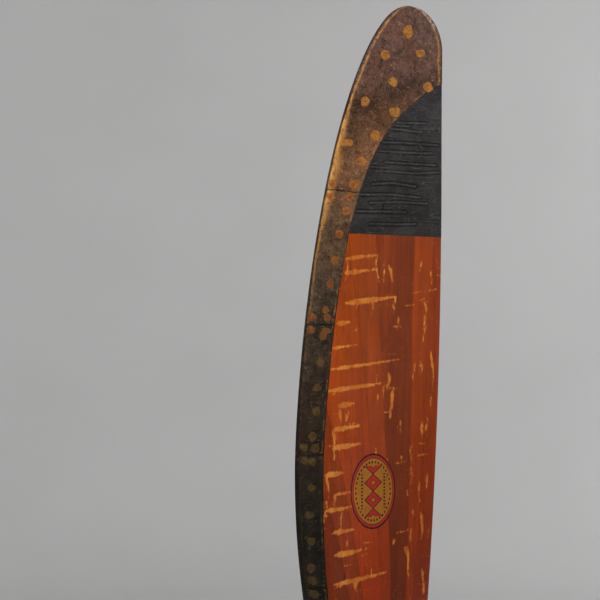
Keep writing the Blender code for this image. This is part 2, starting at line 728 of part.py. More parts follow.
def castle_nut_mesh():
    """A hexagon nut with six slots across its front for the pin."""
    rear = -BLOCK_HALF - 2 * CLEARANCE - FLANGE_THICKNESS
    front = rear - NUT_HEIGHT
    bm = bmesh.new()
    cylinder(bm, HEX_RADIUS, front, rear, HEX_SIDES)
    nut = add_object("nut", mesh_from_bmesh("nut_blank", bm))
    bm = bmesh.new()
    cylinder(bm, BOLT_RADIUS + HOLE_ROOM, front - PAST, rear + PAST, SMALL_SIDES)
    boolean(nut, "DIFFERENCE", add_cutter("nut_bore", mesh_from_bmesh("nut_bore", bm)))
    reach = HEX_RADIUS + PAST
    for index in range(HEX_SIDES // 2):
        bm = bmesh.new()
        box(bm, (-reach, front - PAST, -SLOT_WIDTH / 2), (reach, front + SLOT_DEPTH, SLOT_WIDTH / 2))
        turn = Matrix.Rotation(2 * math.pi * index / HEX_SIDES, 3, "Y")
        bmesh.ops.rotate(bm, verts=bm.verts, matrix=turn)
        boolean(nut, "DIFFERENCE", add_cutter(f"nut_slot_{index}", mesh_from_bmesh("nut_slot", bm)))
    return finished_mesh("castle_nut", nut)


def pin_points():
    """The cotter pin's line: an open eye, the straight shank and a leg bent back over the nut."""
    y = -BLOCK_HALF - 2 * CLEARANCE - FLANGE_THICKNESS - NUT_HEIGHT + SLOT_DEPTH / 2
    points = []
    for step in range(PIN_EYE_STEPS):
        angle = PIN_EYE_START - PIN_EYE_STEP * step
        x, rise = PIN_EYE_RADIUS * math.cos(angle), PIN_EYE_RADIUS * math.sin(angle)
        points.append((PIN_EYE_X + x, y + rise))
    points += [(HEX_RADIUS, y), (PIN_LEG_X + PIN_BEND, y)]
    points += [(PIN_LEG_X, y + PIN_BEND), (PIN_LEG_X, y + PIN_LEG_LENGTH)]
    return [(x, along, 0.0) for x, along in points]


def pin_curve():
    points = pin_points()
    curve = bpy.data.curves.new("cotter_pin", "CURVE")
    curve.dimensions = "3D"
    curve.bevel_depth = PIN_RADIUS
    curve.bevel_resolution = 1
    curve.use_fill_caps = True
    spline = curve.splines.new("POLY")
    spline.points.add(len(points) - 1)
    for point, place in zip(spline.points, points):
        point.co = (*place, 1.0)
    return curve


def add_bolts(materials, parent):
    """Eight bolts, castle nuts and cotter pins round the hub. Each pin lies across its bolt's radius."""
    bolt, nut = bolt_mesh(), castle_nut_mesh()
    curve = pin_curve()
    curve.materials.append(materials["pin wire"])
    for number, angle, x, z in bolt_places():
        turn = (0.0, math.pi / 2 - angle, 0.0)
        names = ((f"hub_bolt_{number}", bolt), (f"castle_nut_{number}", nut), (f"cotter_pin_{number}", curve))
        for name, data in names:
            piece = add_object(name, data, None, parent)
            piece.location = (x, 0.0, z)
            piece.rotation_euler = turn
    for mesh in (bolt, nut):
        mesh.materials.append(materials["bolt steel"])


def add_shaft_nut(materials, parent):
    """The nut that holds the hub on the shaft. Its collar turns between the barrel's floor and the ring, and
    six flats for a spanner are cut on its front end."""
    collar = COUNTERBORE_RADIUS * FLAT_SHARE - HOLE_ROOM
    rear = COUNTERBORE_FLOOR - HOLE_ROOM
    collar_front = RING_GROOVE[1] + HOLE_ROOM
    body, thread, front = SHAFT_NUT_RADIUS, SHAFT_NUT_BORE, SHAFT_NUT_FRONT
    profile = (
        (thread, rear),
        (collar, rear),
        (collar, collar_front),
        (body, collar_front),
        (body, front + EDGE_BREAK),
        (body - EDGE_BREAK, front),
        (thread + EDGE_BREAK, front),
        (thread, front + EDGE_BREAK),
    )
    nut = add_object("shaft_nut", turned_mesh("shaft_nut", profile, ROUND_SIDES), materials["steel"], parent)
    for index in range(HEX_SIDES):
        bm = bmesh.new()
        box(bm, (SPANNER_FLATS_AT, front - PAST, -body), (body + PAST, SPANNER_FLATS_START, body))
        turn = Matrix.Rotation(2 * math.pi * (index + 0.5) / HEX_SIDES, 3, "Y")
        bmesh.ops.rotate(bm, verts=bm.verts, matrix=turn)
        boolean(nut, "DIFFERENCE", add_cutter(f"spanner_flat_{index}", mesh_from_bmesh("spanner_flat", bm)))


def add_snap_ring(materials, parent):
    low, high = RING_GROOVE[0] + CLEARANCE, RING_GROOVE[1] - CLEARANCE
    inside, outside = SNAP_RING_INSIDE, RING_GROOVE_RADIUS * FLAT_SHARE - HOLE_ROOM
    profile = ((inside, low), (outside, low), (outside, high), (inside, high))
    ring = turned_mesh("snap_ring", profile, SNAP_RING_STEPS, turn=SNAP_RING_TURN)
    add_object("snap_ring", ring, materials["bolt steel"], parent)


def make_materials():
    finishes = {
        "dark wood": ((0.20, 0.045, 0.014), 0.35, 0.0),
        "light wood": ((0.42, 0.11, 0.018), 0.35, 0.0),
        "brass": ((0.13, 0.075, 0.038), 0.45, 0.8),
        "solder": ((0.42, 0.22, 0.08), 0.5, 0.8),
        "black fabric": ((0.022, 0.021, 0.021), 0.6, 0.0),
        "steel": ((0.30, 0.30, 0.31), 0.4, 1.0),
        "bolt steel": ((0.42, 0.41, 0.40), 0.35, 1.0),
        "pin wire": ((0.55, 0.54, 0.52), 0.35, 1.0),
    }
    return {name: make_material(name, *finish) for name, finish in finishes.items()}


def add_empty(name, location=(0.0, 0.0, 0.0), parent=None):
    empty = bpy.data.objects.new(name, None)
    bpy.context.scene.collection.objects.link(empty)
    empty.location = location
    empty.parent = parent
    return empty


def main():
    clear_scene()
    materials = make_materials()
    half_turn = Matrix.Rotation(math.pi, 4, "Y")
    propeller = add_empty("propeller")
    blade_a = add_empty("blade_a", parent=propeller)
    blade_b = add_empty("blade_b", parent=propeller)
    blade_b.rotation_euler = (0.0, math.pi, 0.0)
    shaft_axis = add_empty("shaft_nut_axis", parent=propeller)
    add_boards(materials, propeller, half_turn)
    add_tip_covers(materials, (blade_a, blade_b), half_turn)
    add_rear_hub(materials, propeller)
    add_front_flange(materials, propeller)
    add_bolts(materials, propeller)
    add_shaft_nut(materials, shaft_axis)
    add_snap_ring(materials, propeller)


main()
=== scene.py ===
"""The looks of a two-blade wooden aeroplane propeller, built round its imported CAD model.

The frame is the CAD's own: blade a points up +Z, the shaft lies along Y and the front faces -Y. Blade b is
blade a turned half a turn about the shaft. Lengths are in metres unless a name says millimetres.
"""
import math
import random

import bmesh
import bpy
import numpy as np
from mathutils import Matrix, Vector, noise


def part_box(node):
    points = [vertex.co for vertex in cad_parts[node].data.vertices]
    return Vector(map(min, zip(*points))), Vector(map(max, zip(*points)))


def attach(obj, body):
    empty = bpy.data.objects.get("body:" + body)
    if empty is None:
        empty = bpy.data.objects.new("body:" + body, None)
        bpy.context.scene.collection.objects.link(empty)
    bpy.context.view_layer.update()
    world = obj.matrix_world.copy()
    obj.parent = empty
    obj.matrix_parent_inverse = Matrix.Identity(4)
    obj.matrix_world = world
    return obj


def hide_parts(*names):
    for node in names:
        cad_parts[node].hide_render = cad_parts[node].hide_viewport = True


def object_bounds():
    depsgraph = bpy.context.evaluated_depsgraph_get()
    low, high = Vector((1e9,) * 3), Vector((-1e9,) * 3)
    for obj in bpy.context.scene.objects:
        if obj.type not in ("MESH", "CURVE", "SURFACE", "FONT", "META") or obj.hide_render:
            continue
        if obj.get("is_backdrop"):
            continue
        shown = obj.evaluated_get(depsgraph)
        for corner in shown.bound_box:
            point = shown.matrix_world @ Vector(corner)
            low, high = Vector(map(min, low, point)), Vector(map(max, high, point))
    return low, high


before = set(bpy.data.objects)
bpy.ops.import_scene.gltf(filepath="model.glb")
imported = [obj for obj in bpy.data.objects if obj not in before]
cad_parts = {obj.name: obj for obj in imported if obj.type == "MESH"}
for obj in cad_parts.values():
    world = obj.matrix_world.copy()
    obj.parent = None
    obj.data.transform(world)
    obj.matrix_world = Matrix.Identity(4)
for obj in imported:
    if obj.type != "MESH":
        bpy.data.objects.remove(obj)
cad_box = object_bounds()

# The blade, as in the CAD.
TIP_RADIUS = 1.016
PITCH = 1.17
STEEPEST_ANGLE = math.radians(44)

# The blade's outline, seen from the front. The leading edge bows out from the tip to its widest place. The
# trailing edge runs nearly straight behind a rounded corner, and both ease into the root. Lengths that say
# "at" or "from" are distances from the tip.
TIP_X = 0.044
TIP_SHOULDER = 0.040  # x where the leading edge's bow starts, inside the tip's small rounding
TIP_ROUND_LENGTH = 0.010
LEADING_REACH = -0.079
LEADING_WIDEST_AT = 0.500
LEADING_BOW_POWER = 0.6
LEADING_BOW_FULLNESS = 1.5
LEADING_EASING = 1.2
TRAILING_REACH = 0.0814
TRAILING_CORNER = 0.050
TRAILING_BOW_FROM = 0.200
TRAILING_BOW = 0.07
TRAILING_EASES_FROM = 0.650
ROOT_AT = 0.866
ROOT_HALF_WIDTH = 0.040

# The blade's depth: distance from the tip, thickness, and the y of the chord's middle.
BLADE_DEPTH = (
    (0.000, 0.0068, 0.0080),
    (0.060, 0.0086, 0.0080),
    (0.120, 0.0100, 0.0075),
    (0.210, 0.0120, 0.0065),
    (0.320, 0.0148, 0.0050),
    (0.420, 0.0182, 0.0030),
    (0.500, 0.0216, 0.0015),
    (0.580, 0.0260, 0.0010),
    (0.650, 0.0310, 0.0035),
    (0.716, 0.0350, 0.0080),
    (0.766, 0.0395, 0.0105),
    (0.816, 0.0450, 0.0105),
    (0.866, 0.0520, 0.0105),
    (0.986, 0.0520, 0.0105),
)
NOSE_RISE = 0.3  # height of the leading edge above the flat back, as a share of the thickness
NOSE_LENGTH = 0.2  # how far back the rounding under the nose runs, as a share of the chord
DEEPEST_AT = 0.3  # share of the chord where the section is thickest
CAMBER = (2.969, -1.26, -3.516, 2.843, -1.015)  # factors of the share's root and its first four powers
TRAILING_THICKNESS = 0.003
LEAST_WALL = 0.0005
TIP_ROUNDING = 0.004

# The neck: radius, half width, half thickness and corner radius.
NECK = (
    (0.030, 0.060, 0.0556, 0.006),
    (0.084, 0.053, 0.0556, 0.009),
    (0.110, 0.046, 0.0520, 0.016),
    (0.150, 0.042, 0.0480, 0.022),
    (0.200, 0.042, 0.0440, 0.026),
)
NECK_ENDS_AT = 0.200
NECK_FULL_AT = 0.075
BOSS_RADIUS = 0.0889
BLOCK_END = 0.055  # a board that reaches past this y is an outermost one

# Layers of the outer blade. Depths are below the CAD's surface.
SHEATH_OUTSIDE = -0.00035
SHEATH_INSIDE = 0.00035
FABRIC_DEPTH = 0.0001
FABRIC_UNDER_SHEATH = 0.0005
FABRIC_THICKNESS = 0.0004
WOOD_DEPTH = 0.0003
WOOD_UNDER_SHEATH = 0.0011
WOOD_UNDER_FABRIC = 0.0019
SHEATH_WIDTH = 0.034
SHEATH_NARROWING = 1.25  # times the blade's lean, which grows towards the hub
SHEATH_LEAST_WIDTH = 0.010
SHEATH_FLARE = 0.065
SHEATH_FLARE_LENGTH = 0.047
SHEATH_WRAPS_UNTIL = 0.083
SHEATH_SEAMS = (0.203, 0.3465, 0.485, 0.624)
SHEATH_ENDS_AT = 0.716
SEAM_GAP = 0.0003
FABRIC_STARTS_AT = 0.072
FABRIC_ENDS_AT = 0.250
OUTERMOST = 0.0003

FRONT, NOSE, BACK = 1, 0, -1
HALF_TURN = Matrix.Rotation(math.pi, 4, "Y")
BLADES = (("a", Matrix()), ("b", HALF_TURN))
ROUND_STEPS = 96
BOLT_SIDES = 32
BOARDS = [f"board_{number}" for number in range(1, 10)]


# ---------------------------------------------------------------- the blade's shape


def interpolate(rows, position):
    """A table's other columns at this position in its first one, on smooth curves with no overshoot."""
    places = [row[0] for row in rows]
    position = min(max(position, places[0]), places[-1])
    index = max(i for i in range(len(places) - 1) if places[i] <= position)
    width = places[index + 1] - places[index]
    t = (position - places[index]) / width
    values = []
    for column in range(1, len(rows[0])):
        rises = [
            (rows[i + 1][column] - rows[i][column]) / (places[i + 1] - places[i])
            for i in range(len(rows) - 1)
        ]

        def slope(i):
            if i in (0, len(rows) - 1):
                return rises[min(i, len(rises) - 1)]
            before, after = rises[i - 1], rises[i]
            return 0.0 if before * after <= 0 else 2 * before * after / (before + after)

        start, end = rows[index][column], rows[index + 1][column]
        values.append(
            start * (2 * t**3 - 3 * t**2 + 1)
            + slope(index) * width * (t**3 - 2 * t**2 + t)
            + end * (3 * t**2 - 2 * t**3)
            + slope(index + 1) * width * (t**3 - t**2)
        )
    return values


def smooth_step(value, low, high):
    t = np.clip((np.asarray(value, float) - low) / (high - low), 0.0, 1.0)
    return t * t * (3 - 2 * t)


ROUNDED_DEPTH = tuple((math.sqrt(row[0]), *row[1:]) for row in BLADE_DEPTH)
DEPTH_ROOTS = np.linspace(0.0, math.sqrt(BLADE_DEPTH[-1][0]), 2001)
DEPTH_VALUES = np.array([interpolate(ROUNDED_DEPTH, root) for root in DEPTH_ROOTS])


def quarter_round(share):
    """How far a quarter of an ellipse has risen at this share of its length."""
    return np.sqrt(1 - (1 - np.clip(share, 0.0, 1.0)) ** 2)


def outline(from_tip):
    """The x of the leading and of the trailing edge."""
    share = np.clip(from_tip / LEADING_WIDEST_AT, 0.0, 1.0)
    bow = (1 - share**LEADING_BOW_POWER) ** LEADING_BOW_FULLNESS
    leading = LEADING_REACH + (TIP_SHOULDER - LEADING_REACH) * bow
    leading = leading + (TIP_X - TIP_SHOULDER) * (1 - quarter_round(from_tip / TIP_ROUND_LENGTH))
    past = np.maximum(from_tip - LEADING_WIDEST_AT, 0.0) / (ROOT_AT - LEADING_WIDEST_AT)
    leading = leading - (ROOT_HALF_WIDTH + leading) * smooth_step(past**LEADING_EASING, 0.0, 1.0)
    trailing = TIP_X + (TRAILING_REACH - TIP_X) * quarter_round(from_tip / TRAILING_CORNER)
    trailing = trailing - TRAILING_BOW * np.maximum(from_tip - TRAILING_BOW_FROM, 0.0) ** 2
    past = (from_tip - TRAILING_EASES_FROM) / (ROOT_AT - TRAILING_EASES_FROM)
    trailing = trailing + (ROOT_HALF_WIDTH - trailing) * smooth_step(past, 0.0, 1.0)
    return leading, trailing


class Sections:
    """Blade a's cross-sections at distances from the tip. Shares of the chord run from the nose."""

    def __init__(self, from_tip):
        from_tip = np.asarray(from_tip, float)
        self.from_tip, self.z = from_tip, TIP_RADIUS - from_tip
        root = np.sqrt(np.clip(from_tip, 0.0, None))
        self.leading, self.trailing = outline(from_tip)
        self.thickness, self.middle_y = [np.interp(root, DEPTH_ROOTS, column) for column in DEPTH_VALUES.T]
        radius = np.maximum(self.z, 0.05)
        self.angle = np.minimum(np.arctan2(PITCH, 2 * math.pi * radius), STEEPEST_ANGLE)
        self.sin, self.cos = np.sin(self.angle), np.cos(self.angle)
        self.nose_height = NOSE_RISE * self.thickness
        self.run = self.trailing - self.leading + self.nose_height * self.sin
        self.chord = self.run / self.cos
        width = SHEATH_WIDTH - SHEATH_NARROWING * self.thickness * self.sin
        width = np.maximum(SHEATH_LEAST_WIDTH, width)
        width = width + SHEATH_FLARE * np.exp((SHEATH_WRAPS_UNTIL - from_tip) / SHEATH_FLARE_LENGTH)
        spread = np.maximum(self.trailing - self.leading, 1e-4)
        self.sheath_share = np.minimum(1.0, width / spread)
        self.end = np.sqrt(1 - np.clip(1 - from_tip / TIP_ROUNDING, 0.0, 1.0) ** 2)

    def front_height(self, share):
        """Height of the cambered front above the flat back."""
        share = np.maximum(share, 0.0)
        root, first, second, third, fourth = CAMBER
        camber = root * np.sqrt(share) + first * share + second * share**2
        camber += third * share**3 + fourth * share**4
        rise = NOSE_RISE * (1 - share) ** 2 + (1 - NOSE_RISE * (1 - DEEPEST_AT) ** 2) * camber
        return self.thickness * rise + TRAILING_THICKNESS * share

    def back_height(self, share):
        t = 1 - np.clip(share / NOSE_LENGTH, 0.0, 1.0)
        return self.nose_height * (1 - np.sqrt(1 - t**2))

    def limits(self, depth):
        """The first and last share of the chord of a layer this deep. Below zero it lies outside."""
        chord = np.maximum(self.chord, 1e-4)
        if depth <= 0:
            return depth / chord, 1 - depth / chord
        thin, thick = np.zeros_like(self.z), np.full_like(self.z, DEEPEST_AT)
        for _ in range(24):
            middle = (thin + thick) / 2
            narrow = self.front_height(middle) - self.back_height(middle) < 2 * depth + LEAST_WALL
            thin, thick = np.where(narrow, middle, thin), np.where(narrow, thick, middle)
        return thick, 1 - depth / chord

    def place(self, share, height):
        """The points this high above the chord line, in the propeller's frame."""
        x = self.leading + share * self.run + (height - self.nose_height) * self.sin
        y = self.middle_y + (share - 0.5) * self.chord * self.sin - height * self.cos
        return np.stack(np.broadcast_arrays(x, y, self.z), axis=-1)

    def net(self, share, side, depth, sink=0.0):
        """The points at these shares of a layer's width, on its front, nose or back, sunk further."""
        first, last = self.limits(depth)
        share = first + share * (last - first)
        front, back = self.front_height(share), self.back_height(share)
        middle, half = (front + back) / 2, np.maximum((front - back) / 2 - depth - sink, 0.0)
        radius = TRAILING_THICKNESS / 2 - depth
        beyond = np.clip(1 - (last - share) * self.chord / radius, 0.0, 1.0)
        half = half * np.sqrt(1 - beyond**2) * self.end
        return self.place(share, middle + side * half)

    def share_at(self, x, side):
        """Where on the chord blade a's front or back lies in front of these x."""
        share = (x - self.leading) / self.run
        for _ in range(6):
            share = np.clip(share, 0.0, 1.0)
            height = self.front_height(share) if side == FRONT else self.back_height(share)
            share = (x - self.leading - (height - self.nose_height) * self.sin) / self.run
        return np.clip(share, 0.0, 1.0)


def on_surface(x, z, side, depth):
    """The points of blade a's front or back at these x and z, this deep."""
    sections = Sections(TIP_RADIUS - np.asarray(z, float))
    return sections.net(sections.share_at(np.asarray(x, float), side), side, 0.0, depth)


def ripple(points, scale, seed):
    """Smooth noise from -1 to 1 at an array of points."""
    flat = points.reshape(-1, 3) * scale + seed
    return np.array([noise.noise(Vector(p)) for p in flat]).reshape(points.shape[:-1])


# ---------------------------------------------------------------- meshes and pieces


def linked(name, data):
    """A new object in the scene."""
    obj = bpy.data.objects.new(name, data)
    bpy.context.scene.collection.objects.link(obj)
    return obj


def new_piece(name, mesh, material, body, slot, replaced):
    """A piece of the propeller, which stands for the CAD nodes in replaced."""
    piece = linked(name, mesh)
    if not mesh.materials:
        mesh.materials.append(material)
    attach(piece, body)
    if replaced:
        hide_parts(*replaced)
    return piece


def mesh_from_bmesh(name, bm, sharp=math.radians(30)):
    bmesh.ops.recalc_face_normals(bm, faces=bm.faces)
    mesh = bpy.data.meshes.new(name)
    bm.to_mesh(mesh)
    bm.free()
    smooth(mesh, sharp)
    return mesh


def smooth(mesh, sharp):
    mesh.shade_smooth()
    mesh.set_sharp_from_angle(angle=sharp)


def set_attribute(mesh, name, values):
    attribute = mesh.attributes.get(name) or mesh.attributes.new(name, "FLOAT", "POINT")
    attribute.data.foreach_set("value", np.asarray(values, np.float32).ravel())


def get_points(mesh):
    points = np.empty(len(mesh.vertices) * 3, np.float32)
    mesh.vertices.foreach_get("co", points)
    return points.reshape(-1, 3).astype(float)


def carve(mesh, steps, solver="MANIFOLD"):
    """The mesh after Boolean steps, each an operation's name and another mesh."""
    obj = linked("carved", mesh)
    others = []
    for operation, other in steps:
        others.append(linked("cutter", other))
        modifier = obj.modifiers.new("cut", "BOOLEAN")
        modifier.operation = operation
        modifier.solver = solver
        modifier.object = others[-1]
    bpy.context.view_layer.update()
    carved = obj.evaluated_get(bpy.context.evaluated_depsgraph_get())
    result = bpy.data.meshes.new_from_object(carved)
    for each in (obj, *others):
        bpy.data.objects.remove(each, do_unlink=True)
    result.materials.clear()
    return result


def blade_copies(mesh):
    """The mesh's copy on each blade, after the blade's letter."""
    for letter, matrix in BLADES:
        copy = mesh.copy()
        copy.transform(matrix)
        yield letter, copy


def grid_faces(rows, columns, closed=False, offset=0, flip=False):
    """The corner numbers of a grid's quads. closed joins its last column to its first."""
    numbers = offset + np.arange(rows * columns).reshape(rows, columns)
    if closed:
        numbers = np.concatenate([numbers, numbers[:, :1]], axis=1)
    corners = [numbers[:-1, :-1], numbers[:-1, 1:], numbers[1:, 1:], numbers[1:, :-1]]
    faces = np.stack(corners[::-1] if flip else corners, axis=-1)
    return faces.reshape(-1, 4)


def bmesh_from_arrays(points, faces):
    mesh = bpy.data.meshes.new("net")
    mesh.from_pydata(points.reshape(-1, 3).tolist(), [], [list(face) for face in faces])
    bm = bmesh.new()
    bm.from_mesh(mesh)
    bpy.data.meshes.remove(mesh)
    return bm


def tube_faces(rows, columns):
    """A closed tube of quads with a flat face at either end."""
    faces = grid_faces(rows, columns, closed=True).tolist()
    faces.append(list(range(columns))[::-1])
    faces.append([(rows - 1) * columns + k for k in range(columns)])
    return faces


def cylinder(bm, radius, low, high, sides=ROUND_STEPS, x=0.0, z=0.0):
    matrix = Matrix.Translation((x, (low + high) / 2, z)) @ Matrix.Rotation(math.pi / 2, 4, "X")
    bmesh.ops.create_cone(
        bm, cap_ends=True, segments=sides, radius1=radius, radius2=radius, depth=high - low, matrix=matrix
    )


def cuboid(bm, low, high):
    size = [b - a for a, b in zip(low, high)]
    middle = [(a + b) / 2 for a, b in zip(low, high)]
    bmesh.ops.create_cube(bm, size=1.0, matrix=Matrix.Translation(middle) @ Matrix.Diagonal((*size, 1.0)))


def rounded(profile, radius, steps=3):
    """A closed profile with each corner that has room for it rounded off."""
    result = []
    count = len(profile)
    for index, corner in enumerate(profile):
        here = Vector(corner)
        before, after = Vector(profile[index - 1]), Vector(profile[(index + 1) % count])
        reach = min(radius, 0.45 * (before - here).length, 0.45 * (after - here).length)
        start = here + (before - here).normalized() * reach
        end = here + (after - here).normalized() * reach
        for step in range(steps + 1):
            t = step / steps
            result.append(tuple(start * (1 - t) ** 2 + here * 2 * t * (1 - t) + end * t**2))
    return result


def spun(points, axis, steps, merge=1e-6):
    """A line of points spun round an axis."""
    bm = bmesh.new()
    verts = [bm.verts.new(point) for point in points]
    edges = [bm.edges.new(pair) for pair in zip(verts, verts[1:])]
    bmesh.ops.spin(bm, geom=[*verts, *edges], axis=axis, angle=2 * math.pi, steps=steps, use_merge=True)
    bmesh.ops.remove_doubles(bm, verts=bm.verts, dist=merge)
    return bm


def turned(profile, steps=ROUND_STEPS):
    """A closed profile of (radius, y) turned about the Y axis."""
    angles = np.arange(steps) * 2 * math.pi / steps
    radius, y = np.array(profile).T
    points = np.stack(
        [
            radius[:, None] * np.cos(angles),
            np.broadcast_to(y[:, None], (len(y), steps)),
            radius[:, None] * np.sin(angles),
        ],
        axis=-1,
    )
    points = np.concatenate([points, points[:1]])
    bm = bmesh_from_arrays(points, grid_faces(len(points), steps, closed=True).tolist())
    bmesh.ops.remove_doubles(bm, verts=bm.verts, dist=1e-7)
    return mesh_from_bmesh("turned", bm)


# ---------------------------------------------------------------- materials


def srgb(red, green, blue):
    """A colour given in 8-bit sRGB, as the shader's linear values."""
    channels = [value / 255 for value in (red, green, blue)]
    linear = [c / 12.92 if c <= 0.04045 else ((c + 0.055) / 1.055) ** 2.4 for c in channels]
    return (*linear, 1.0)


class Nodes:
    """The nodes of one material. Each method adds a node and returns its output."""

    def __init__(self, name, metallic=0.0, roughness=0.5, specular=0.5, coat=0.0, coat_roughness=0.1):
        self.material = bpy.data.materials.new(name)
        self.material.use_nodes = True
        self.tree = self.material.node_tree
        self.shader = self.tree.nodes["Principled BSDF"]
        for socket, value in (
            ("Metallic", metallic),
            ("Roughness", roughness),
            ("Specular IOR Level", specular),
            ("Coat Weight", coat),
            ("Coat Roughness", coat_roughness),
        ):
            self.shader.inputs[socket].default_value = value
        self.position = self.add("ShaderNodeTexCoord").outputs["Object"]

    def add(self, kind, inputs=(), **settings):
        node = self.tree.nodes.new(kind)
        for key, value in settings.items():
            setattr(node, key, value)
        for key, value in dict(inputs).items():
            self.put(node, key, value)
        return node

    def put(self, node, key, value):
        """Links an input to a socket, or sets it to a plain value."""
        if isinstance(value, bpy.types.NodeSocket):
            self.tree.links.new(value, node.inputs[key])
        else:
            node.inputs[key].default_value = value

    def math(self, operation, a, b=0.0, clamp=False):
        node = self.add("ShaderNodeMath", {0: a, 1: b}, operation=operation, use_clamp=clamp)
        return node.outputs[0]

    def times(self, a, b):
        return self.math("MULTIPLY", a, b)

    def plus(self, a, b):
        return self.math("ADD", a, b)

    def minus(self, a, b, clamp=False):
        return self.math("SUBTRACT", a, b, clamp)

    def between(self, value, low, high):
        """1 where the value lies between low and high, and 0 elsewhere."""
        return self.times(self.math("GREATER_THAN", value, low), self.math("LESS_THAN", value, high))

    def fit(self, value, low, high, to_low=0.0, to_high=1.0):
        """The value eased from to_low to to_high between low and high."""
        inputs = {"Value": value, "From Min": low, "From Max": high, "To Min": to_low, "To Max": to_high}
        return self.add("ShaderNodeMapRange", inputs, interpolation_type="SMOOTHSTEP").outputs["Result"]

    def axes(self):
        return self.add("ShaderNodeSeparateXYZ", {0: self.position}).outputs

    def scaled(self, scale, offset=(0.0, 0.0, 0.0), vector=None):
        inputs = {"Vector": vector or self.position, "Scale": scale, "Location": offset}
        return self.add("ShaderNodeMapping", inputs).outputs[0]

    def noise(self, scale, detail=3.0, roughness=0.5, offset=(0.0, 0.0, 0.0), vector=None):
        """Noise from 0 to 1. scale is one number, or one for each axis."""
        scale = (scale, scale, scale) if isinstance(scale, (int, float)) else scale
        inputs = {
            "Vector": self.scaled(scale, offset, vector),
            "Scale": 1.0,
            "Detail": detail,
            "Roughness": roughness,
        }
        return self.add("ShaderNodeTexNoise", inputs).outputs["Fac"]

    def cracks(self, scale, offset=(0.0, 0.0, 0.0)):
        """Distance to the edges of random cells."""
        inputs = {"Vector": self.scaled(scale, offset), "Scale": 1.0}
        node = self.add("ShaderNodeTexVoronoi", inputs, feature="DISTANCE_TO_EDGE")
        return node.outputs["Distance"]

    def hairs(self, scale, seed, width):
        """Short curling hairlines: the level lines of a noise, broken up by another."""
        level = self.math("ABSOLUTE", self.minus(self.noise(scale, 1.0, 0.4, (seed, 2.0, 5.0)), 0.5))
        broken = self.fit(self.noise(scale, 2.0, 0.5, (3.0, seed, 8.0)), 0.54, 0.6)
        return self.times(self.fit(level, 0.0, width, 1.0, 0.0), broken)

    def attribute(self, name):
        return self.add("ShaderNodeAttribute", attribute_name=name).outputs["Fac"]

    def mix(self, share, a, b):
        """Colour a where share is 0, and b where it is 1."""
        node = self.add("ShaderNodeMix", {0: share}, data_type="RGBA")
        for index, value in ((6, a), (7, b)):
            self.put(node, index, value)
        return node.outputs[2]

    def ramp(self, value, stops):
        """A colour ramp through (position, colour) stops."""
        node = self.add("ShaderNodeValToRGB", {0: value})
        elements = node.color_ramp.elements
        while len(elements) < len(stops):
            elements.new(0.5)
        for element, (position, colour) in zip(elements, stops):
            element.position = position
            element.color = colour
        return node.outputs["Color"]

    def shade(self, colour, amount):
        """The colour made darker or lighter: amount is 1 where it stays."""
        node = self.add("ShaderNodeVectorMath", {0: colour, "Scale": amount}, operation="SCALE")
        return node.outputs[0]

    def tone(self, colour, value, *limits):
        """The colour shaded by a fitted value."""
        return self.shade(colour, self.fit(value, *limits))

    def tint(self, colour, share, strength, other):
        """The colour turned towards another where share is high, and no further than strength."""
        return self.mix(self.times(share, strength), colour, other)

    def finish(self, colour, roughness=None, millimetres=None):
        """Connects the colour, roughness and height in millimetres, and gives the material."""
        self.tree.links.new(colour, self.shader.inputs["Base Color"])
        if roughness is not None:
            self.tree.links.new(roughness, self.shader.inputs["Roughness"])
        if millimetres is not None:
            bump = self.add("ShaderNodeBump", {"Height": millimetres, "Distance": 0.001, "Strength": 1.0})
            self.tree.links.new(bump.outputs[0], self.shader.inputs["Normal"])
        return self.material


FLAKE_COLOURS = srgb(236, 150, 60), srgb(206, 108, 34)
# Each board's colour on the outer and the inner blade.
BOARD_COLOURS = (
    (srgb(140, 56, 10), srgb(112, 38, 4)),
    (srgb(164, 70, 10), srgb(132, 45, 4)),
    (srgb(176, 74, 10), srgb(152, 48, 3)),
    (srgb(166, 70, 10), srgb(142, 48, 4)),
    (srgb(138, 55, 9), srgb(108, 39, 4)),
    (srgb(172, 68, 5), srgb(142, 49, 3)),
    (srgb(150, 58, 8), srgb(126, 41, 3)),
    (srgb(164, 70, 10), srgb(132, 46, 4)),
    (srgb(136, 52, 10), srgb(108, 37, 4)),
)


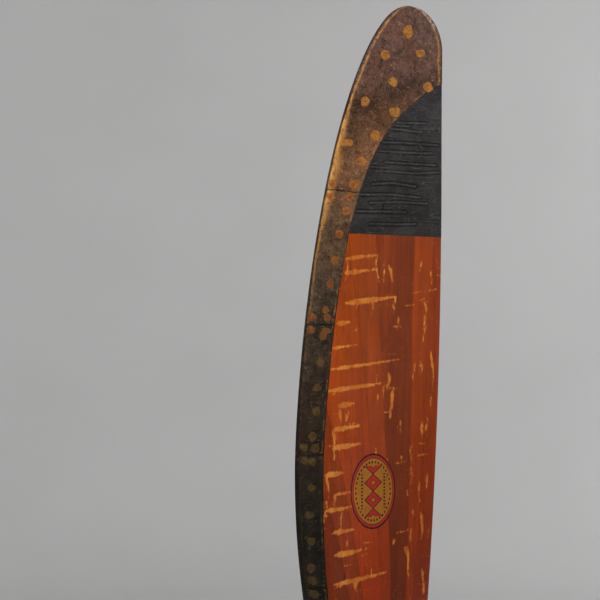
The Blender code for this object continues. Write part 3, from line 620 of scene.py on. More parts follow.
def wood_material(number):
    """Varnished mahogany with its grain along Z, flaked varnish and a dark glue line at the board's faces."""
    outer, inner = BOARD_COLOURS[number - 1]
    nodes = Nodes(f"varnished_board_{number}", specular=0.12, coat=0.04, coat_roughness=0.2)
    x, y, z = nodes.axes()
    off = (3.7 * number, 1.9 * number, 5.3 * number)
    radius = nodes.math("ABSOLUTE", z)
    colour = nodes.mix(nodes.fit(radius, 0.36, 0.78), inner, outer)
    sway = nodes.times(nodes.minus(nodes.noise(1.6, 1.0, offset=off), 0.5), 0.06)
    swayed = nodes.add("ShaderNodeCombineXYZ", {0: nodes.plus(x, sway), 1: y, 2: z}).outputs[0]
    broad = nodes.noise((48, 48, 1.1), 3.0, 0.55, off, swayed)
    fine = nodes.noise((260, 260, 3.2), 4.0, 0.65, off, swayed)
    pores = nodes.noise((1100, 1100, 34), 2.0, 0.5, off, swayed)
    colour = nodes.tone(colour, broad, 0.3, 0.7, 0.84, 1.14)
    colour = nodes.tone(colour, fine, 0.25, 0.75, 0.86, 1.12)
    colour = nodes.tone(colour, pores, 0.32, 0.44, 0.74, 1.0)
    blotch = nodes.noise(26, 4.0, 0.6, off)
    colour = nodes.tone(colour, blotch, 0.3, 0.7, 0.92, 1.07)
    grime = nodes.fit(nodes.noise((60, 60, 26), 5.0, 0.7, (7.0, 2.0, 4.0)), 0.6, 0.78)
    colour = nodes.tint(colour, grime, 0.35, srgb(70, 26, 10))
    checks = nodes.cracks((150, 150, 210), (1.0, 2.0, 3.0))
    hairline = nodes.fit(checks, 0.0, 0.035, 1.0, 0.0)
    hairline = nodes.times(hairline, nodes.fit(nodes.noise(30, 2.0), 0.48, 0.62))
    colour = nodes.tone(colour, hairline, 0.0, 1.0, 1.0, 0.82)
    ragged = nodes.minus(nodes.noise((900, 900, 260), 4.0, 0.65), 0.5)
    broader = nodes.minus(nodes.noise((260, 260, 110), 3.0, 0.6, off), 0.5)
    ragged = nodes.plus(nodes.times(ragged, 4.4), nodes.times(broader, 4.2))
    edge = nodes.plus(nodes.attribute("flake"), ragged)
    bare = nodes.fit(edge, 0.2, -0.15)
    across_grain = nodes.hairs((42, 42, 260), 1.0, 0.012)
    along_grain = nodes.hairs((330, 330, 34), 4.0, 0.012)
    crazed = nodes.math("MAXIMUM", across_grain, along_grain)
    crazed = nodes.times(crazed, nodes.fit(nodes.noise(22, 3.0, 0.5, off), 0.44, 0.6, 0.1, 0.6))
    colour = nodes.mix(crazed, colour, srgb(206, 112, 44))
    halo = nodes.fit(edge, 1.1, 0.1)
    colour = nodes.tint(colour, halo, 0.3, srgb(186, 88, 30))
    flaked = nodes.mix(nodes.fit(nodes.noise((90, 90, 40), 3.0), 0.3, 0.7), *FLAKE_COLOURS)
    flaked = nodes.tone(flaked, fine, 0.25, 0.75, 0.86, 1.1)
    flaked = nodes.tone(flaked, radius, 0.36, 0.72, 0.78, 1.0)
    colour = nodes.tint(colour, bare, 0.93, flaked)
    glue = nodes.fit(nodes.attribute("glue"), 0.03, 0.2)
    colour = nodes.tone(colour, glue, 0.0, 1.0, 0.84, 1.0)
    stain = nodes.fit(nodes.attribute("stain"), 0.0, 1.0)
    colour = nodes.tint(colour, stain, 0.85, srgb(40, 18, 9))
    roughness = nodes.fit(nodes.noise(60, 3.0), 0.3, 0.7, 0.34, 0.48)
    roughness = nodes.plus(roughness, nodes.times(bare, 0.2))
    height = nodes.times(bare, -0.12)
    height = nodes.plus(height, nodes.times(fine, 0.05))
    height = nodes.plus(height, nodes.times(pores, 0.025))
    height = nodes.minus(height, nodes.times(hairline, 0.04))
    return nodes.finish(colour, roughness, height)


# The sheath's colour up the blade. It darkens towards the hub as painted shade, where the twisted blade turns
# from the light; the purple-grey near the tip is painted reflection.
SHEATH_COLOURS_AND_SHADE = (
    (0.392, srgb(23, 18, 12)),
    (0.478, srgb(30, 24, 16)),
    (0.587, srgb(46, 36, 25)),
    (0.696, srgb(70, 56, 42)),
    (0.772, srgb(98, 73, 52)),
    (0.837, srgb(136, 95, 65)),
    (0.902, srgb(90, 62, 44)),
    (0.967, srgb(106, 78, 68)),
)


def sheath_material():
    """Sheet brass with a brown patina, worn golden inside the blade's edges, and painted darker inwards as
    shade.
    """
    nodes = Nodes("patinated_brass", metallic=0.35, specular=0.15)
    radius = nodes.math("ABSOLUTE", nodes.axes()["Z"])
    # Painted shade: the ramp darkens the sheath towards the hub.
    colour = nodes.ramp(radius, SHEATH_COLOURS_AND_SHADE)
    colour = nodes.tone(colour, nodes.noise(34, 4.0, 0.6), 0.3, 0.7, 0.66, 1.36)
    mottle = nodes.noise((210, 210, 170), 4.0, 0.7, (2.0, 7.0, 3.0))
    colour = nodes.tone(colour, mottle, 0.3, 0.7, 0.64, 1.36)
    colour = nodes.tone(colour, nodes.noise((700, 700, 520), 3.0, 0.7), 0.3, 0.7, 0.8, 1.2)
    reddish = nodes.fit(nodes.noise(18, 3.0, 0.6, (4.0, 1.0, 2.0)), 0.5, 0.68)
    reddish = nodes.times(reddish, nodes.fit(radius, 0.6, 0.8, 0.04, 0.3))
    colour = nodes.mix(reddish, colour, srgb(124, 74, 44))
    # The worn band: broad on the outer third, a thin broken line further in.
    lead, trail = nodes.attribute("lead"), nodes.attribute("trail")
    sway = nodes.times(nodes.minus(nodes.noise((90, 90, 60), 5.0, 0.7), 0.5), 5.5)
    nearest = nodes.plus(nodes.math("MINIMUM", lead, trail), sway)
    start = nodes.fit(radius, 0.86, 0.96, 1.0, 3.4)
    widening, narrowing = nodes.fit(radius, 0.74, 0.83, 2.6, 11.0), nodes.fit(radius, 0.84, 0.93, 11.0, 3.0)
    broad = nodes.math("MINIMUM", widening, narrowing)
    reach = nodes.plus(start, broad)
    inwards = nodes.minus(reach, nearest)
    fade = nodes.math("DIVIDE", inwards, nodes.minus(reach, start), clamp=True)
    band = nodes.times(nodes.minus(nearest, start, clamp=True), fade)
    worn = nodes.fit(nodes.noise((200, 200, 120), 5.0, 0.7, (5.0, 3.0, 8.0)), 0.34, 0.54)
    band = nodes.times(band, nodes.times(worn, nodes.fit(radius, 0.6, 0.78, 0.2, 1.0)))
    gold = nodes.mix(nodes.fit(radius, 0.5, 0.75), srgb(112, 86, 42), srgb(216, 154, 74))
    colour = nodes.mix(band, colour, gold)
    # Painted shade: darker along the blade's very edges, where the rounded edge turns from the light.
    colour = nodes.tone(colour, nodes.math("MINIMUM", lead, trail), 0.4, 2.6, 0.32, 1.0)
    # A whitish painted highlight by the trailing edge at the very tip, broken up by noise.
    highlight_breakup = nodes.fit(nodes.noise((150, 150, 150), 5.0, 0.7, (4.0, 4.0, 9.0)), 0.36, 0.6)
    pale = nodes.times(nodes.fit(trail, 8.0, 3.0), nodes.fit(radius, 0.982, 1.0))
    pale = nodes.times(pale, nodes.fit(trail, 0.4, 1.8))
    colour = nodes.mix(nodes.times(pale, highlight_breakup), colour, srgb(214, 184, 168))
    rim = nodes.attribute("rim")
    colour = nodes.tone(colour, rim, 0.2, 1.3, 0.42, 1.0)
    burr = nodes.times(nodes.fit(rim, 1.0, 1.9), nodes.fit(rim, 3.4, 2.2))
    burr = nodes.times(burr, nodes.fit(nodes.noise((120, 120, 70), 3.0, 0.6, (9.0, 9.0, 1.0)), 0.5, 0.66))
    colour = nodes.tint(colour, burr, 0.45, gold)
    marks = nodes.hairs((190, 190, 190), 1.0, 0.02)
    marks = nodes.math("MAXIMUM", marks, nodes.hairs((120, 120, 340), 6.0, 0.022))
    glint = nodes.mix(nodes.fit(radius, 0.5, 0.8), srgb(96, 84, 66), srgb(186, 156, 124))
    colour = nodes.tint(colour, marks, 0.55, glint)
    crackle = nodes.fit(nodes.cracks((240, 240, 300), (5.0, 2.0, 3.0)), 0.0, 0.07, 1.0, 0.0)
    crackle = nodes.times(crackle, nodes.fit(nodes.noise(40, 3.0, 0.5, (6.0, 6.0, 6.0)), 0.46, 0.62))
    colour = nodes.tint(colour, crackle, 0.5, srgb(26, 19, 14))
    spots = nodes.fit(nodes.noise(260, 2.0, 0.5, (8.0, 3.0, 1.0)), 0.62, 0.7)
    colour = nodes.tint(colour, spots, 0.6, srgb(26, 19, 14))
    roughness = nodes.fit(nodes.noise(90, 3.0), 0.3, 0.7, 0.38, 0.56)
    height = nodes.times(nodes.noise((300, 300, 240), 3.0, 0.6), 0.06)
    height = nodes.minus(height, nodes.times(marks, 0.02))
    height = nodes.minus(height, nodes.times(crackle, 0.03))
    height = nodes.plus(height, nodes.times(nodes.noise(45), 0.3))
    return nodes.finish(colour, roughness, height)


def solder_material():
    """Blobs of solder and rivet heads, lighter on the outer blade and darker further in."""
    nodes = Nodes("solder", metallic=0.35, specular=0.15)
    radius = nodes.math("ABSOLUTE", nodes.axes()["Z"])
    stops = (
        (0.39, srgb(66, 53, 27)),
        (0.50, srgb(74, 59, 30)),
        (0.62, srgb(92, 70, 36)),
        (0.70, srgb(126, 84, 42)),
        (0.80, srgb(164, 106, 50)),
        (0.92, srgb(180, 120, 56)),
    )
    colour = nodes.ramp(radius, stops)
    colour = nodes.tone(colour, nodes.noise(240, 4.0, 0.7), 0.3, 0.7, 0.66, 1.3)
    colour = nodes.tone(colour, nodes.noise(900, 2.0, 0.6), 0.3, 0.7, 0.82, 1.16)
    dome = nodes.attribute("dome")
    near = nodes.times(nodes.fit(radius, 0.86, 0.82), nodes.fit(radius, 0.6, 0.68))
    warm = nodes.times(nodes.fit(dome, 0.6, 0.2), nodes.times(near, 0.6))
    colour = nodes.mix(warm, colour, srgb(158, 62, 34))
    ragged = nodes.times(nodes.minus(nodes.noise(420, 3.0, 0.6, (3.0, 1.0, 2.0)), 0.5), 0.6)
    rim = nodes.fit(nodes.plus(dome, ragged), 0.74, 1.06)
    # The solder's edge takes the sheath's colour, with its painted shade.
    sheath = nodes.shade(nodes.ramp(radius, SHEATH_COLOURS_AND_SHADE), 0.8)
    colour = nodes.tint(colour, rim, 0.92, sheath)
    pits = nodes.fit(nodes.noise(330, 2.0, 0.5, (8.0, 3.0, 1.0)), 0.62, 0.7)
    colour = nodes.tint(colour, pits, 0.55, srgb(40, 28, 18))
    roughness = nodes.fit(nodes.noise(300, 2.0), 0.3, 0.7, 0.4, 0.6)
    height = nodes.times(nodes.noise(700, 3.0, 0.6), 0.12)
    return nodes.finish(colour, roughness, height)


def fabric_material():
    """Doped and painted linen: nearly black, its weave just showing, worn by the edge, with painted highlight
    on its folds and painted shade beside them.
    """
    nodes = Nodes("doped_fabric", specular=0.16)
    x, _, z = nodes.axes()
    radius = nodes.math("ABSOLUTE", z)
    colour = nodes.mix(nodes.fit(radius, 0.77, 0.92), srgb(48, 47, 45), srgb(60, 57, 57))
    colour = nodes.tone(colour, nodes.noise(40, 4.0, 0.6), 0.3, 0.7, 0.7, 1.3)
    colour = nodes.tone(colour, nodes.noise((200, 200, 500), 3.0, 0.65), 0.3, 0.7, 0.74, 1.28)
    colour = nodes.tone(colour, nodes.noise(900, 2.0, 0.6, (4.0, 5.0, 6.0)), 0.3, 0.7, 0.84, 1.16)
    ridge = nodes.attribute("ridge")
    # Painted highlight on the folds' ridges, and painted shade in the dips beside them.
    colour = nodes.tone(colour, ridge, 0.1, 0.8, 1.0, 1.7)
    colour = nodes.tone(colour, ridge, -0.06, -0.35, 1.0, 0.3)
    cracked = nodes.fit(nodes.cracks((34, 34, 230), (3.0, 1.0, 4.0)), 0.0, 0.05, 1.0, 0.0)
    cracked = nodes.times(cracked, nodes.fit(nodes.noise((30, 30, 90), 3.0, 0.5, (2.0, 9.0, 1.0)), 0.5, 0.6))
    colour = nodes.tone(colour, cracked, 0.0, 1.0, 1.0, 0.5)
    along, down = nodes.hairs((26, 26, 330), 2.0, 0.016), nodes.hairs((200, 200, 90), 7.0, 0.012)
    hairs = nodes.math("MAXIMUM", along, down)
    colour = nodes.tint(colour, hairs, 0.62, srgb(112, 108, 105))
    worn = nodes.fit(nodes.noise((260, 260, 520), 3.0, 0.6, (3.0, 8.0, 2.0)), 0.655, 0.71)
    low = nodes.times(nodes.fit(radius, 0.83, 0.8), nodes.fit(radius, 0.775, 0.8))
    colour = nodes.mix(nodes.times(nodes.times(worn, low), 0.8), colour, srgb(122, 66, 46))
    pitch = 2 * math.pi / 0.0009
    warp = nodes.math("SINE", nodes.times(x, pitch))
    weft = nodes.math("SINE", nodes.times(z, pitch))
    weave = nodes.times(nodes.plus(warp, weft), 0.5)
    colour = nodes.tone(colour, weave, -1.0, 1.0, 0.93, 1.06)
    roughness = nodes.fit(nodes.noise(70, 3.0), 0.3, 0.7, 0.42, 0.62)
    height = nodes.times(weave, 0.02)
    height = nodes.plus(height, nodes.times(nodes.noise(420, 3.0, 0.6), 0.05))
    return nodes.finish(colour, roughness, height)


def steel_material(name, colour, metallic, stain, turned_marks, seed):
    """Machined steel, oily and a little rusted. turned_marks is how many tool marks there are in a metre."""
    nodes = Nodes(name, metallic=metallic, coat=0.1, coat_roughness=0.3)
    x, y, z = nodes.axes()
    off = (seed, 2.0 * seed, 3.0 * seed)
    squared = nodes.plus(nodes.times(x, x), nodes.times(z, z))
    distance = nodes.math("SQRT", squared)
    along = nodes.plus(distance, y)
    marks = nodes.math("SINE", nodes.times(along, 2 * math.pi * turned_marks))
    tint = nodes.mix(nodes.noise(35, 4.0, 0.6, off), colour, stain)
    tint = nodes.tone(tint, nodes.noise(160, 4.0, 0.65, off), 0.3, 0.7, 0.8, 1.18)
    rust = nodes.fit(nodes.noise((120, 120, 120), 5.0, 0.7, off), 0.6, 0.74)
    tint = nodes.tint(tint, rust, 0.5, srgb(96, 58, 34))
    scratch = nodes.fit(nodes.noise((30, 1400, 900), 2.0, 0.4, off), 0.68, 0.73)
    tint = nodes.tint(tint, scratch, 0.3, srgb(205, 202, 196))
    roughness = nodes.fit(nodes.noise(80, 4.0, 0.6, off), 0.3, 0.7, 0.26, 0.5)
    roughness = nodes.plus(roughness, nodes.times(rust, 0.25))
    height = nodes.times(marks, 0.004)
    height = nodes.plus(height, nodes.times(nodes.noise(500, 3.0, 0.6, off), 0.03))
    return nodes.finish(tint, roughness, height)


TRANSFER_CENTRE = (0.0050, 0.490)
TRANSFER_HALF = (0.02475, 0.0405)


def transfer_material():
    """The oval transfer: an ochre field in black and red rings, round a column of three red lozenges."""
    nodes = Nodes("oval_transfer", specular=0.12, coat=0.04, coat_roughness=0.2)
    u, v = nodes.attribute("across"), nodes.attribute("up")
    across, up = nodes.math("ABSOLUTE", u), nodes.math("ABSOLUTE", v)
    squares = [nodes.times(each, each) for each in (u, v)]
    reach = nodes.math("SQRT", nodes.plus(*squares))
    red, black = srgb(168, 36, 20), srgb(38, 21, 14)
    field = nodes.mix(nodes.noise(160, 4.0, 0.6), srgb(178, 116, 26), srgb(150, 84, 20))
    colour = field
    # In each of three places up the oval: a lozenge, with a thin black outline.
    part = nodes.math("PINGPONG", nodes.plus(v, 0.225), 0.225)
    size = nodes.plus(nodes.times(across, 1.05), nodes.times(part, 1.75))
    inside = nodes.math("LESS_THAN", up, 0.675)
    for limit, tone in ((0.42, black), (0.365, red), (0.15, black), (0.11, field)):
        shape = nodes.times(nodes.math("LESS_THAN", size, limit), inside)
        colour = nodes.mix(shape, colour, tone)
    # A column of short bars on each side of them.
    dashes = nodes.math("LESS_THAN", nodes.math("PINGPONG", v, 0.045), 0.024)
    beside = nodes.between(across, 0.46, 0.54)
    beside = nodes.times(beside, nodes.math("LESS_THAN", up, 0.46))
    colour = nodes.mix(nodes.times(beside, dashes), colour, black)
    # A ring of small bars between the lozenges and the rings.
    angle = nodes.math("ARCTAN2", v, u)
    bars = nodes.math("GREATER_THAN", nodes.math("SINE", nodes.times(angle, 36.0)), 0.1)
    band = nodes.between(reach, 0.74, 0.80)
    colour = nodes.mix(nodes.times(bars, band), colour, black)
    for low, high, tone in ((0.865, 0.885, black), (0.885, 0.95, red), (0.95, 1.01, black)):
        colour = nodes.mix(nodes.between(reach, low, high), colour, tone)
    worn = nodes.fit(nodes.noise((300, 300, 120), 4.0, 0.65, (2.0, 4.0, 1.0)), 0.6, 0.68)
    colour = nodes.tint(colour, worn, 0.75, srgb(136, 58, 26))
    grain = nodes.noise((260, 260, 3.2), 4.0, 0.65)
    colour = nodes.tone(colour, grain, 0.25, 0.75, 0.88, 1.1)
    roughness = nodes.fit(nodes.noise(60, 3.0), 0.3, 0.7, 0.36, 0.5)
    height = nodes.plus(nodes.times(grain, 0.05), nodes.times(worn, -0.03))
    return nodes.finish(colour, roughness, height)


# ---------------------------------------------------------------- wood

TRAILING_COLUMNS = 5
OPEN_SPACES = 72
COVERED_SPACES = 16
TUCK = 0.002  # how far the wood's open surface runs on under the sheath
DEEP_UNTIL = 0.245
OPEN_STEP, BARE_STEP, HUB_STEP = 0.0015, 0.003, 0.002
HUB_REACH = 0.1
BORE_IN_WOOD = 0.0353
BOLT_HOLE_IN_WOOD = 0.0061


def wood_shares(sections):
    """Each front column's share of its layer's width, from the trailing edge to the nose."""
    chord = sections.chord[:, None]
    rounding = TRAILING_THICKNESS / 2 / chord
    turn = np.linspace(0.0, math.pi / 2, TRAILING_COLUMNS, endpoint=False)
    trailing = 1 - rounding * (1 - np.cos(turn))
    edge = np.minimum(0.97, sections.sheath_share - TUCK / sections.run)[:, None]
    t = np.linspace(0.0, 1.0, OPEN_SPACES + 1)
    opened = (1 - rounding) * (1 - t) + edge * t
    covered = edge * (1 - np.linspace(0.0, 1.0, COVERED_SPACES + 1)) ** 2
    aware = np.concatenate([trailing, opened, covered[:, 1:]], axis=1)
    count = aware.shape[1]
    even = (1 + np.cos(math.pi * np.arange(count) / (count - 1))) / 2
    blend = smooth_step(sections.from_tip, SHEATH_ENDS_AT + 0.002, SHEATH_ENDS_AT + 0.03)[:, None]
    return aware * (1 - blend) + even * blend


def block_ring(radius, count):
    """Half a section of the block, from +X over the front to -X: a rectangle with rounded corners."""
    half_width, half_thick, corner = interpolate(NECK, max(radius, NECK[0][0]))
    boss = math.sqrt(max(BOSS_RADIUS**2 - radius**2, 0.0))
    blend = 0.012 * float(smooth_step(radius, 0.02, 0.06)) + 1e-6
    half_width = (half_width + boss + math.sqrt((half_width - boss) ** 2 + blend**2)) / 2
    f = np.arange(count) / (count - 1)
    g = np.where(f <= 0.5, f, 1 - f) / 0.5
    side, arc = 0.12, 0.32
    turn = np.clip((g - side) / (arc - side), 0.0, 1.0) * math.pi / 2
    rise = (half_thick - corner) * np.clip(g / side, 0.0, 1.0)
    x = (half_width - corner) * (1 - np.clip((g - arc) / (1 - arc), 0.0, 1.0)) + corner * np.cos(turn)
    y = -(rise + corner * np.sin(turn))
    return np.stack([np.where(f <= 0.5, x, -x), y, np.full(count, radius)], axis=-1)


def wood_rings():
    """The rings of points round blade a's wood, from the tip to the shaft."""
    # The wood is deeper under the fabric, and steps up to its open surface between 0.2440 and 0.2455.
    deep = [0.0027, 0.004, 0.007, 0.013, 0.028, 0.06, 0.10, 0.15, 0.20, 0.244]
    shallow = list(np.arange(0.2455, SHEATH_ENDS_AT - TUCK, OPEN_STEP))
    bare = list(np.arange(SHEATH_ENDS_AT - TUCK + 0.0004, TIP_RADIUS - HUB_REACH, BARE_STEP))
    hub = list(np.arange(TIP_RADIUS - HUB_REACH, TIP_RADIUS, HUB_STEP))
    from_tip = np.array(deep + shallow + bare + hub)
    sections = Sections(from_tip)
    shares = wood_shares(sections)
    count = shares.shape[1]
    grid = Sections(np.repeat(from_tip[:, None], count, axis=1))
    nets = {}
    for side in (FRONT, BACK):
        sides = np.full(count, side)
        sides[-1] = NOSE
        depths = (WOOD_UNDER_FABRIC, WOOD_UNDER_SHEATH, WOOD_DEPTH)
        layers = [grid.net(shares, sides, depth) for depth in depths]
        is_deep = (from_tip < DEEP_UNTIL)[:, None]
        is_covered = (from_tip < SHEATH_ENDS_AT - TUCK)[:, None] & (
            np.arange(count) > TRAILING_COLUMNS + OPEN_SPACES
        )
        net = np.where(is_covered[..., None], layers[1], layers[2])
        nets[side] = np.where(is_deep[..., None], layers[0], net)
    radii = TIP_RADIUS - from_tip
    weight = smooth_step(NECK_ENDS_AT - radii, 0.0, NECK_ENDS_AT - NECK_FULL_AT)
    for row, (radius, share) in enumerate(zip(radii, weight)):
        if share > 0:
            block = block_ring(max(radius, 0.0), count)
            nets[FRONT][row] += (block - nets[FRONT][row]) * share
            block[:, 1] *= -1
            nets[BACK][row] += (block - nets[BACK][row]) * share
    return np.concatenate([nets[FRONT], nets[BACK][:, -2:0:-1]], axis=1)


def wood_block_mesh():
    """Both blades and the boss as one solid."""
    rings = wood_rings()
    half = rings.shape[1] // 2
    partner = (half - np.arange(rings.shape[1])) % rings.shape[1]
    turned_rings = rings[:, partner] * np.array((-1.0, 1.0, -1.0))
    middle = rings[-1:] * np.array((1.0, 1.0, 0.0))
    points = np.concatenate([rings, middle, turned_rings[::-1]])
    bm = bmesh_from_arrays(points, tube_faces(*points.shape[:2]))
    return mesh_from_bmesh("wood_block", bm)


def middle_height(points):
    """The y of the blade's mid-surface behind each point, for either blade."""
    flip = np.where(points[:, 2] < 0, -1.0, 1.0)
    x, z = points[:, 0] * flip, points[:, 2] * flip
    sections = Sections(TIP_RADIUS - z)
    share = np.clip((x - sections.leading) / sections.run, 0.0, 1.0)
    for _ in range(3):
        height = (sections.front_height(share) + sections.back_height(share)) / 2
        share = (x - sections.leading - (height - sections.nose_height) * sections.sin) / sections.run
        share = np.clip(share, 0.0, 1.0)
    y = sections.middle_y + (share - 0.5) * sections.chord * sections.sin - height * sections.cos
    return y * (1 - smooth_step(NECK_ENDS_AT - z, 0.0, NECK_ENDS_AT - NECK_FULL_AT))


# Blade a's two stains: x and radius, then half width and half height.
STAINS = (((-0.0265, 0.4025), 0.0012, 0.0045), ((-0.007, 0.429), 0.0010, 0.0022))
FLAKE_REACH = 4.0  # millimetres


def edges_at(radius):
    """The x of the leading and of the trailing edge at a radius, all in millimetres."""
    section = Sections(np.array([TIP_RADIUS - radius / 1000]))
    return 1000 * section.leading[0], 1000 * section.trailing[0]


def along_line(x, radius, start, end):
    """For each point, the share along a line where it is nearest to it, and how far away it is."""
    (x0, r0), (x1, r1) = start, end
    t = ((x - x0) * (x1 - x0) + (radius - r0) * (r1 - r0)) / math.dist(start, end) ** 2
    t = np.clip(t, 0.0, 1.0)
    return t, np.hypot(x - x0 - t * (x1 - x0), radius - r0 - t * (r1 - r0))


def hair_flakes(seed, low, high, count):
    """Hairlines in the varnish: across the grain beside the sheath, along it beside the trailing edge."""
    pick = random.Random(seed)
    strokes = []
    for _ in range(count):
        radius = pick.uniform(low, high)
        leading, trailing = edges_at(radius)
        leading, trailing = leading + 24, trailing - 2
        share = pick.random()
        x = leading + (trailing - leading) * share
        if pick.random() < 0.35 + 0.5 * share:
            points = [(x, radius)]
            for _ in range(pick.randint(1, 3)):
                points.append((points[-1][0] + pick.uniform(-1.6, 1.6), points[-1][1] - pick.uniform(5, 11)))
        else:
            points = [(x, radius), (x + pick.uniform(5, 15), radius + pick.uniform(-1, 3))]
        strokes.append((pick.uniform(0.7, 1.3), *points))
    return strokes


def wandering(pick, x, radius, length, steps, sway):
    """A crack's points, in millimetres, running down the grain from x and radius."""
    points = [(x, radius)]
    for _ in range(steps):
        x += pick.uniform(-sway, sway)
        radius -= length / steps
        points.append((x, radius))
    return points


def varnish_flakes(seed, low, high):
    """Flaked strokes down one face, in millimetres: each one's width and its points, as x and radius.

    Bars run across the grain from the sheath, often with a leg along it. Cracks follow it further back.
    """
    pick = random.Random(seed)
    strokes = []
    radius = high
    while radius > low:
        leading, trailing = edges_at(radius)
        inside = leading + (30 if radius > 1000 * (TIP_RADIUS - SHEATH_ENDS_AT) else 8)
        room = trailing - inside
        x = inside + pick.uniform(0, 0.12) * room
        length = room * (pick.uniform(0.42, 0.62) if pick.random() < 0.2 else pick.uniform(0.1, 0.32))
        end = x + length, radius + 0.13 * length
        strokes.append((pick.uniform(2.2, 6.2), (x, radius), end))
        if pick.random() < 0.6:
            foot = pick.choice(((x, radius), end))
            strokes.append((pick.uniform(1.6, 2.8), *wandering(pick, *foot, pick.uniform(10, 26), 2, 2.5)))
        if pick.random() < 0.65:
            x = inside + pick.uniform(0.25, 0.6) * room
            width, length = pick.uniform(1.8, 4.6), pick.uniform(12, 32)
            strokes.append((width, *wandering(pick, x, radius + pick.uniform(-8, 8), length, 3, 2.0)))
        if pick.random() < 0.8:
            x = trailing - pick.uniform(5, 30)
            width, length = pick.uniform(1.4, 2.4), pick.uniform(14, 34)
            strokes.append((width, *wandering(pick, x, radius + pick.uniform(-8, 8), length, 3, 1.8)))
        radius -= pick.uniform(15, 33)
    return strokes


def flake_distance(x, radius, strokes):
    """Millimetres from the edge of the nearest flaked stroke, less than zero inside one."""
    nearest = np.full(x.shape, FLAKE_REACH)
    for width, *points in strokes:
        lengths = [math.dist(a, b) for a, b in zip(points, points[1:])]
        total, walked = sum(lengths), 0.0
        for start, end, length in zip(points, points[1:], lengths):
            t, away = along_line(x, radius, start, end)
            along = (walked + t * length) / total
            half = width / 2 * np.minimum(0.45 + 3.5 * along, 1.2 - 0.95 * along**1.6)
            nearest = np.minimum(nearest, away - half)
            walked += length
    return np.maximum(nearest, -FLAKE_REACH)


def mark_board(mesh, low, high):
    """Gives a board's points their distances from flaked strokes, stains and its glued faces."""
    points = get_points(mesh)
    flip = np.where(points[:, 2] < 0, -1.0, 1.0)
    x, radius = points[:, 0] * flip * 1000, np.abs(points[:, 2]) * 1000
    is_front = points[:, 1] < middle_height(points)
    on_a = points[:, 2] > 0
    groups = (
        (is_front & on_a, (*varnish_flakes(11, 120, 740), *hair_flakes(31, 300, 740, 70))),
        (is_front & ~on_a, (*varnish_flakes(12, 120, 745), *hair_flakes(32, 300, 750, 60))),
        (~is_front & on_a, (*varnish_flakes(14, 120, 742), *hair_flakes(33, 300, 750, 50))),
        (~is_front & ~on_a, (*varnish_flakes(16, 120, 748), *hair_flakes(34, 300, 750, 50))),
    )
    flake = np.full(len(points), FLAKE_REACH)
    for chosen, strokes in groups:
        flake[chosen] = flake_distance(x[chosen], radius[chosen], strokes)
    stain = np.zeros(len(points))
    for (centre_x, centre_r), half_x, half_r in STAINS:
        away = np.hypot((x - centre_x * 1000) / half_x, (radius - centre_r * 1000) / half_r) / 1000
        stain = np.maximum(stain, np.clip(1.4 - away, 0.0, 1.0) * (is_front & on_a))
    to_glue = np.minimum(
        np.where(low < -BLOCK_END, 1.0, np.abs(points[:, 1] - low)),
        np.where(high > BLOCK_END, 1.0, np.abs(points[:, 1] - high)),
    )
    set_attribute(mesh, "flake", flake)
    set_attribute(mesh, "stain", stain)
    set_attribute(mesh, "glue", np.minimum(to_glue * 1000, 3.0))


def hub_hole_mesh(bore, hole):
    """The bore and the bolts' holes as one cutter."""
    bm = bmesh.new()
    if bore:
        cylinder(bm, bore, -HUB_REACH, HUB_REACH)
    for x, z, _ in bolt_places():
        cylinder(bm, hole, -HUB_REACH, HUB_REACH, BOLT_SIDES, x, z)
    return mesh_from_bmesh("holes", bm)


def bolt_places():
    """Each hub bolt's x, z and the angle of its radius, from its CAD node."""
    for number in range(1, 9):
        low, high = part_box(f"hub_bolt_{number}")
        middle = (Vector(low) + Vector(high)) / 2
        yield middle.x, middle.z, math.atan2(middle.z, middle.x)


def add_boards():
    block = wood_block_mesh()
    for number, name in enumerate(BOARDS, 1):
        low, high = (corner[1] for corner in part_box(name))
        bm = bmesh.new()
        start = low - (0.005 if low < -BLOCK_END else 0.0001)
        end = high + (0.005 if high > BLOCK_END else 0.0001)
        cuboid(bm, (-0.2, start, -1.1), (0.2, end, 1.1))
        slab = mesh_from_bmesh("slab", bm)
        steps = (("INTERSECT", slab), ("DIFFERENCE", hub_hole_mesh(BORE_IN_WOOD, BOLT_HOLE_IN_WOOD)))
        mesh = carve(block.copy(), steps)
        mesh.name = name
        mark_board(mesh, low, high)
        smooth(mesh, math.radians(24))
        slot = "dark_wood" if number % 2 else "light_wood"
        new_piece(f"wood_{name}", mesh, wood_material(number), "propeller", slot, [name])


# ---------------------------------------------------------------- sheath, fabric, solder


def shell_mesh(name, outer, inner, welded_rows, attributes):
    """A thin closed solid between two grids of points.

    The grid's first and last columns meet on its first welded_rows rows, and a cap closes the first of them.
    """
    rows, columns = outer.shape[:2]
    faces = grid_faces(rows, columns).tolist()
    faces += grid_faces(rows, columns, offset=rows * columns, flip=True).tolist()
    inside = rows * columns

    def rim(a, b):
        faces.append([a, b, b + inside, a + inside])

    last = (rows - 1) * columns
    for k in range(columns - 1):
        rim(last + k, last + k + 1)
        if not welded_rows:
            rim(k, k + 1)
    for row in range(max(welded_rows - 1, 0), rows - 1):
        for column in (0, columns - 1):
            rim(row * columns + column, (row + 1) * columns + column)
    bm = bmesh_from_arrays(np.concatenate([outer.reshape(-1, 3), inner.reshape(-1, 3)]), faces)
    layers = {key: bm.verts.layers.float.new(key) for key in attributes}
    bm.verts.ensure_lookup_table()
    for key, values in attributes.items():
        for vert, value in zip(bm.verts, np.tile(values.ravel(), 2)):
            vert[layers[key]] = float(value)
    bmesh.ops.remove_doubles(bm, verts=bm.verts, dist=2e-6)
    if welded_rows:
        holes = [edge for edge in bm.edges if edge.is_boundary]
        bmesh.ops.holes_fill(bm, edges=holes, sides=0)
    return mesh_from_bmesh(name, bm, math.radians(50))


